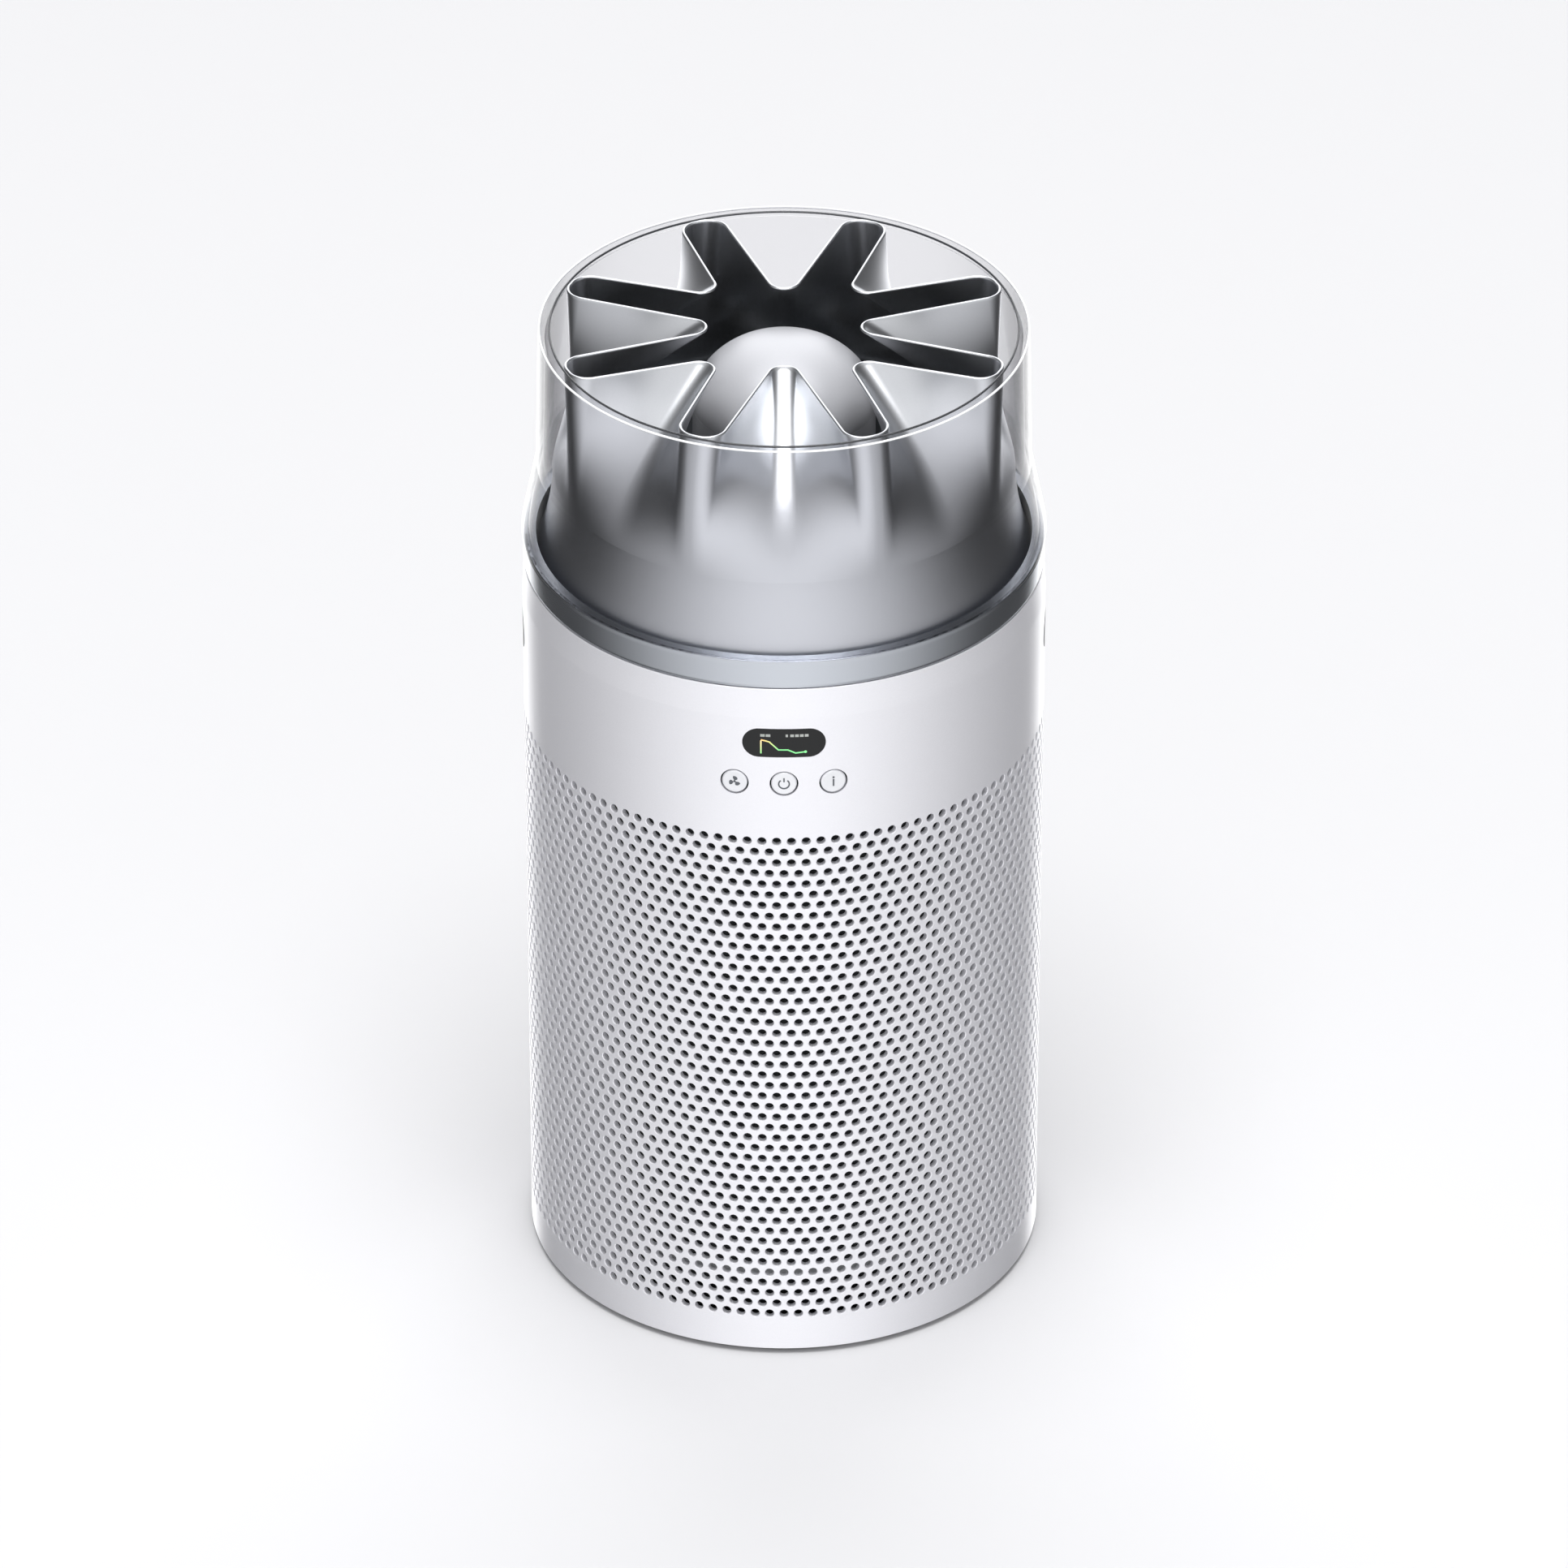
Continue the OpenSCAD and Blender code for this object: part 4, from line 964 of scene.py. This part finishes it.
def infoIcon():  # a dot over a short bar
    height, radius = icons["dot"]
    bar = [(0, up) for up in icons["letterBar"]]
    return [diskPatch((0, height), radius)] + strip(bar, icons["letterWidth"])


iconInk = mouldedPlastic("iconInk", "#54585e", 0.5, 0.8, 0.005)
for title, node, angle, patches in (("fan", "fan_button", -controls["angle"], fanIcon()),
                                    ("power", "power_button", 0, powerIcon()),
                                    ("info", "info_button", controls["angle"], infoIcon())):
    z = nodeCentre(node).z
    placePiece(buttonCap(title + "Cap", node, angle), node, "button_cap", [node])
    icon = inlay(title + "Icon", patches, angle, z, controls["iconLift"], controls["iconDepth"])
    placePiece(icon, node, "button_cap", finish=iconInk)

screen = {
    "z": nodeCentre("display_lens").z,
    "lift": 0.04 * mm,
    "depth": 0.1 * mm,
    "line": 0.65 * mm,
    "trend": ((-10, 1.5), (-8.1, 1.1), (-6.4, 0.6), (-2.4, -3.4), (1.7, -3.4), (5, -5.0), (9.3, -4.5)),
    "marker": ((-10, 1.2), (-10, -5.4)),
    "dashes": ((-10.3, 2.0), (-7.9, 2.0), (0.7, 1.0), (2.7, 1.6), (4.8, 1.6), (6.9, 1.6), (9.0, 1.6)),
    "dashUp": 3.8,
    "dashTall": 1.3 * mm,
}


def displayPiece(name, patches, finish):
    piece = inlay(name, patches, 0, screen["z"], screen["lift"], screen["depth"])
    return placePiece(piece, "body", "display_glass", finish=finish)


def inMillimetres(path):
    return [(x * mm, up * mm) for x, up in path]


trend = inMillimetres(screen["trend"])
displayPiece("trendLine", strip(trend, screen["line"]) + [diskPatch(trend[-1], screen["line"])],
             litStroke("trendGlow", "#ffc27a", "#7fdc8c", trend[0][0], trend[3][0], 1.5))
marker = inMillimetres(screen["marker"])
displayPiece("trendMarker", strip(marker, screen["line"]),
             litStroke("markerGlow", "#8fe08f", "#ffd9a8",
                       screen["z"] + marker[1][1], screen["z"] + marker[0][1], 1.3, "Z"))
dashes = [strip(inMillimetres([(x, screen["dashUp"]), (x + w, screen["dashUp"])]), screen["dashTall"])[0]
          for x, w in screen["dashes"]]
displayPiece("statusDashes", dashes, litStroke("statusGlow", "#dfe5df", "#eef2ee", -10 * mm, 10 * mm, 0.55))

print("stage: floor and lights")
studio = {
    "floor": "#d2d2d4",
    "floorReach": 14,
    "sides": 0.08,
    "front": (math.radians(108), 0.0, 1.38),  # angles off the front where it starts and is full, strength
    "back": (math.radians(137), math.radians(160), 2.3),
    "above": (0.35, 0.85, 0.6),  # sines of the height where dimming starts and ends, and what is left
    "overhead": 480,  # watts
    "overheadPlace": (0, -1.2, 7),
    "overheadSize": (4.5, 4.5),
}
floorMesh = bpy.data.meshes.new("floor")
reach = studio["floorReach"]
floorMesh.from_pydata([(-reach, -reach, 0), (reach, -reach, 0), (reach, reach, 0), (-reach, reach, 0)], [],
                      [(0, 1, 2, 3)])
floor = bpy.data.objects.new("floor", floorMesh)
scene.collection.objects.link(floor)
floor.data.materials.append(mouldedPlastic("floorPaper", studio["floor"], 0.9, 1.0, 0.001, 0.002))

world = bpy.data.worlds.new("studio")
scene.world = world
world.use_nodes = True


def studioWorld(tree):  # soft light from the front and the back, darker at the sides and above
    look = addNode(tree, "ShaderNodeSeparateXYZ", None,
                   {"Vector": addNode(tree, "ShaderNodeTexCoord").outputs["Generated"]})
    front = addNode(tree, "ShaderNodeMath", {"operation": "MULTIPLY"}, {0: look.outputs["Y"], 1: -1.0})
    turn = addNode(tree, "ShaderNodeMath", {"operation": "ARCTAN2"},
                   {0: look.outputs["X"], 1: front.outputs[0]})
    away = addNode(tree, "ShaderNodeMath", {"operation": "ABSOLUTE"}, {0: turn.outputs[0]})
    total = studio["sides"]
    for name in ("front", "back"):
        start, end, gain = studio[name]
        part = addNode(tree, "ShaderNodeMapRange", {"interpolation_type": "SMOOTHSTEP"},
                       {"Value": away.outputs[0], "From Min": start, "From Max": end,
                        "To Min": 0.0, "To Max": gain})
        total = addNode(tree, "ShaderNodeMath", {"operation": "ADD"}, {0: part.outputs["Result"], 1: total}
                        ).outputs[0]
    start, end, rest = studio["above"]
    dim = addNode(tree, "ShaderNodeMapRange", {"interpolation_type": "SMOOTHSTEP"},
                  {"Value": look.outputs["Z"], "From Min": start, "From Max": end,
                   "To Min": 1.0, "To Max": rest})
    total = addNode(tree, "ShaderNodeMath", {"operation": "MULTIPLY"}, {0: total, 1: dim.outputs["Result"]}
                    ).outputs[0]
    tree.nodes["Background"].inputs["Color"].default_value = linearColour("#ffffff")
    tree.links.new(total, tree.nodes["Background"].inputs["Strength"])


studioWorld(world.node_tree)
floor.visible_glossy = False


def softbox(name, place, target, size, power, tone="#ffffff"):
    light = bpy.data.lights.new(name, "AREA")
    light.shape = "RECTANGLE"
    light.size, light.size_y = size
    light.energy = power
    light.color = linearColour(tone)[:3]
    lamp = bpy.data.objects.new(name, light)
    lamp.location = place
    aim = np.array(target, float) - np.array(place, float)
    lamp.rotation_euler = Vector(aim).to_track_quat("-Z", "Y").to_euler()
    scene.collection.objects.link(lamp)
    return lamp


softbox("overhead", studio["overheadPlace"], (*studio["overheadPlace"][:2], 0),
        studio["overheadSize"], studio["overhead"])
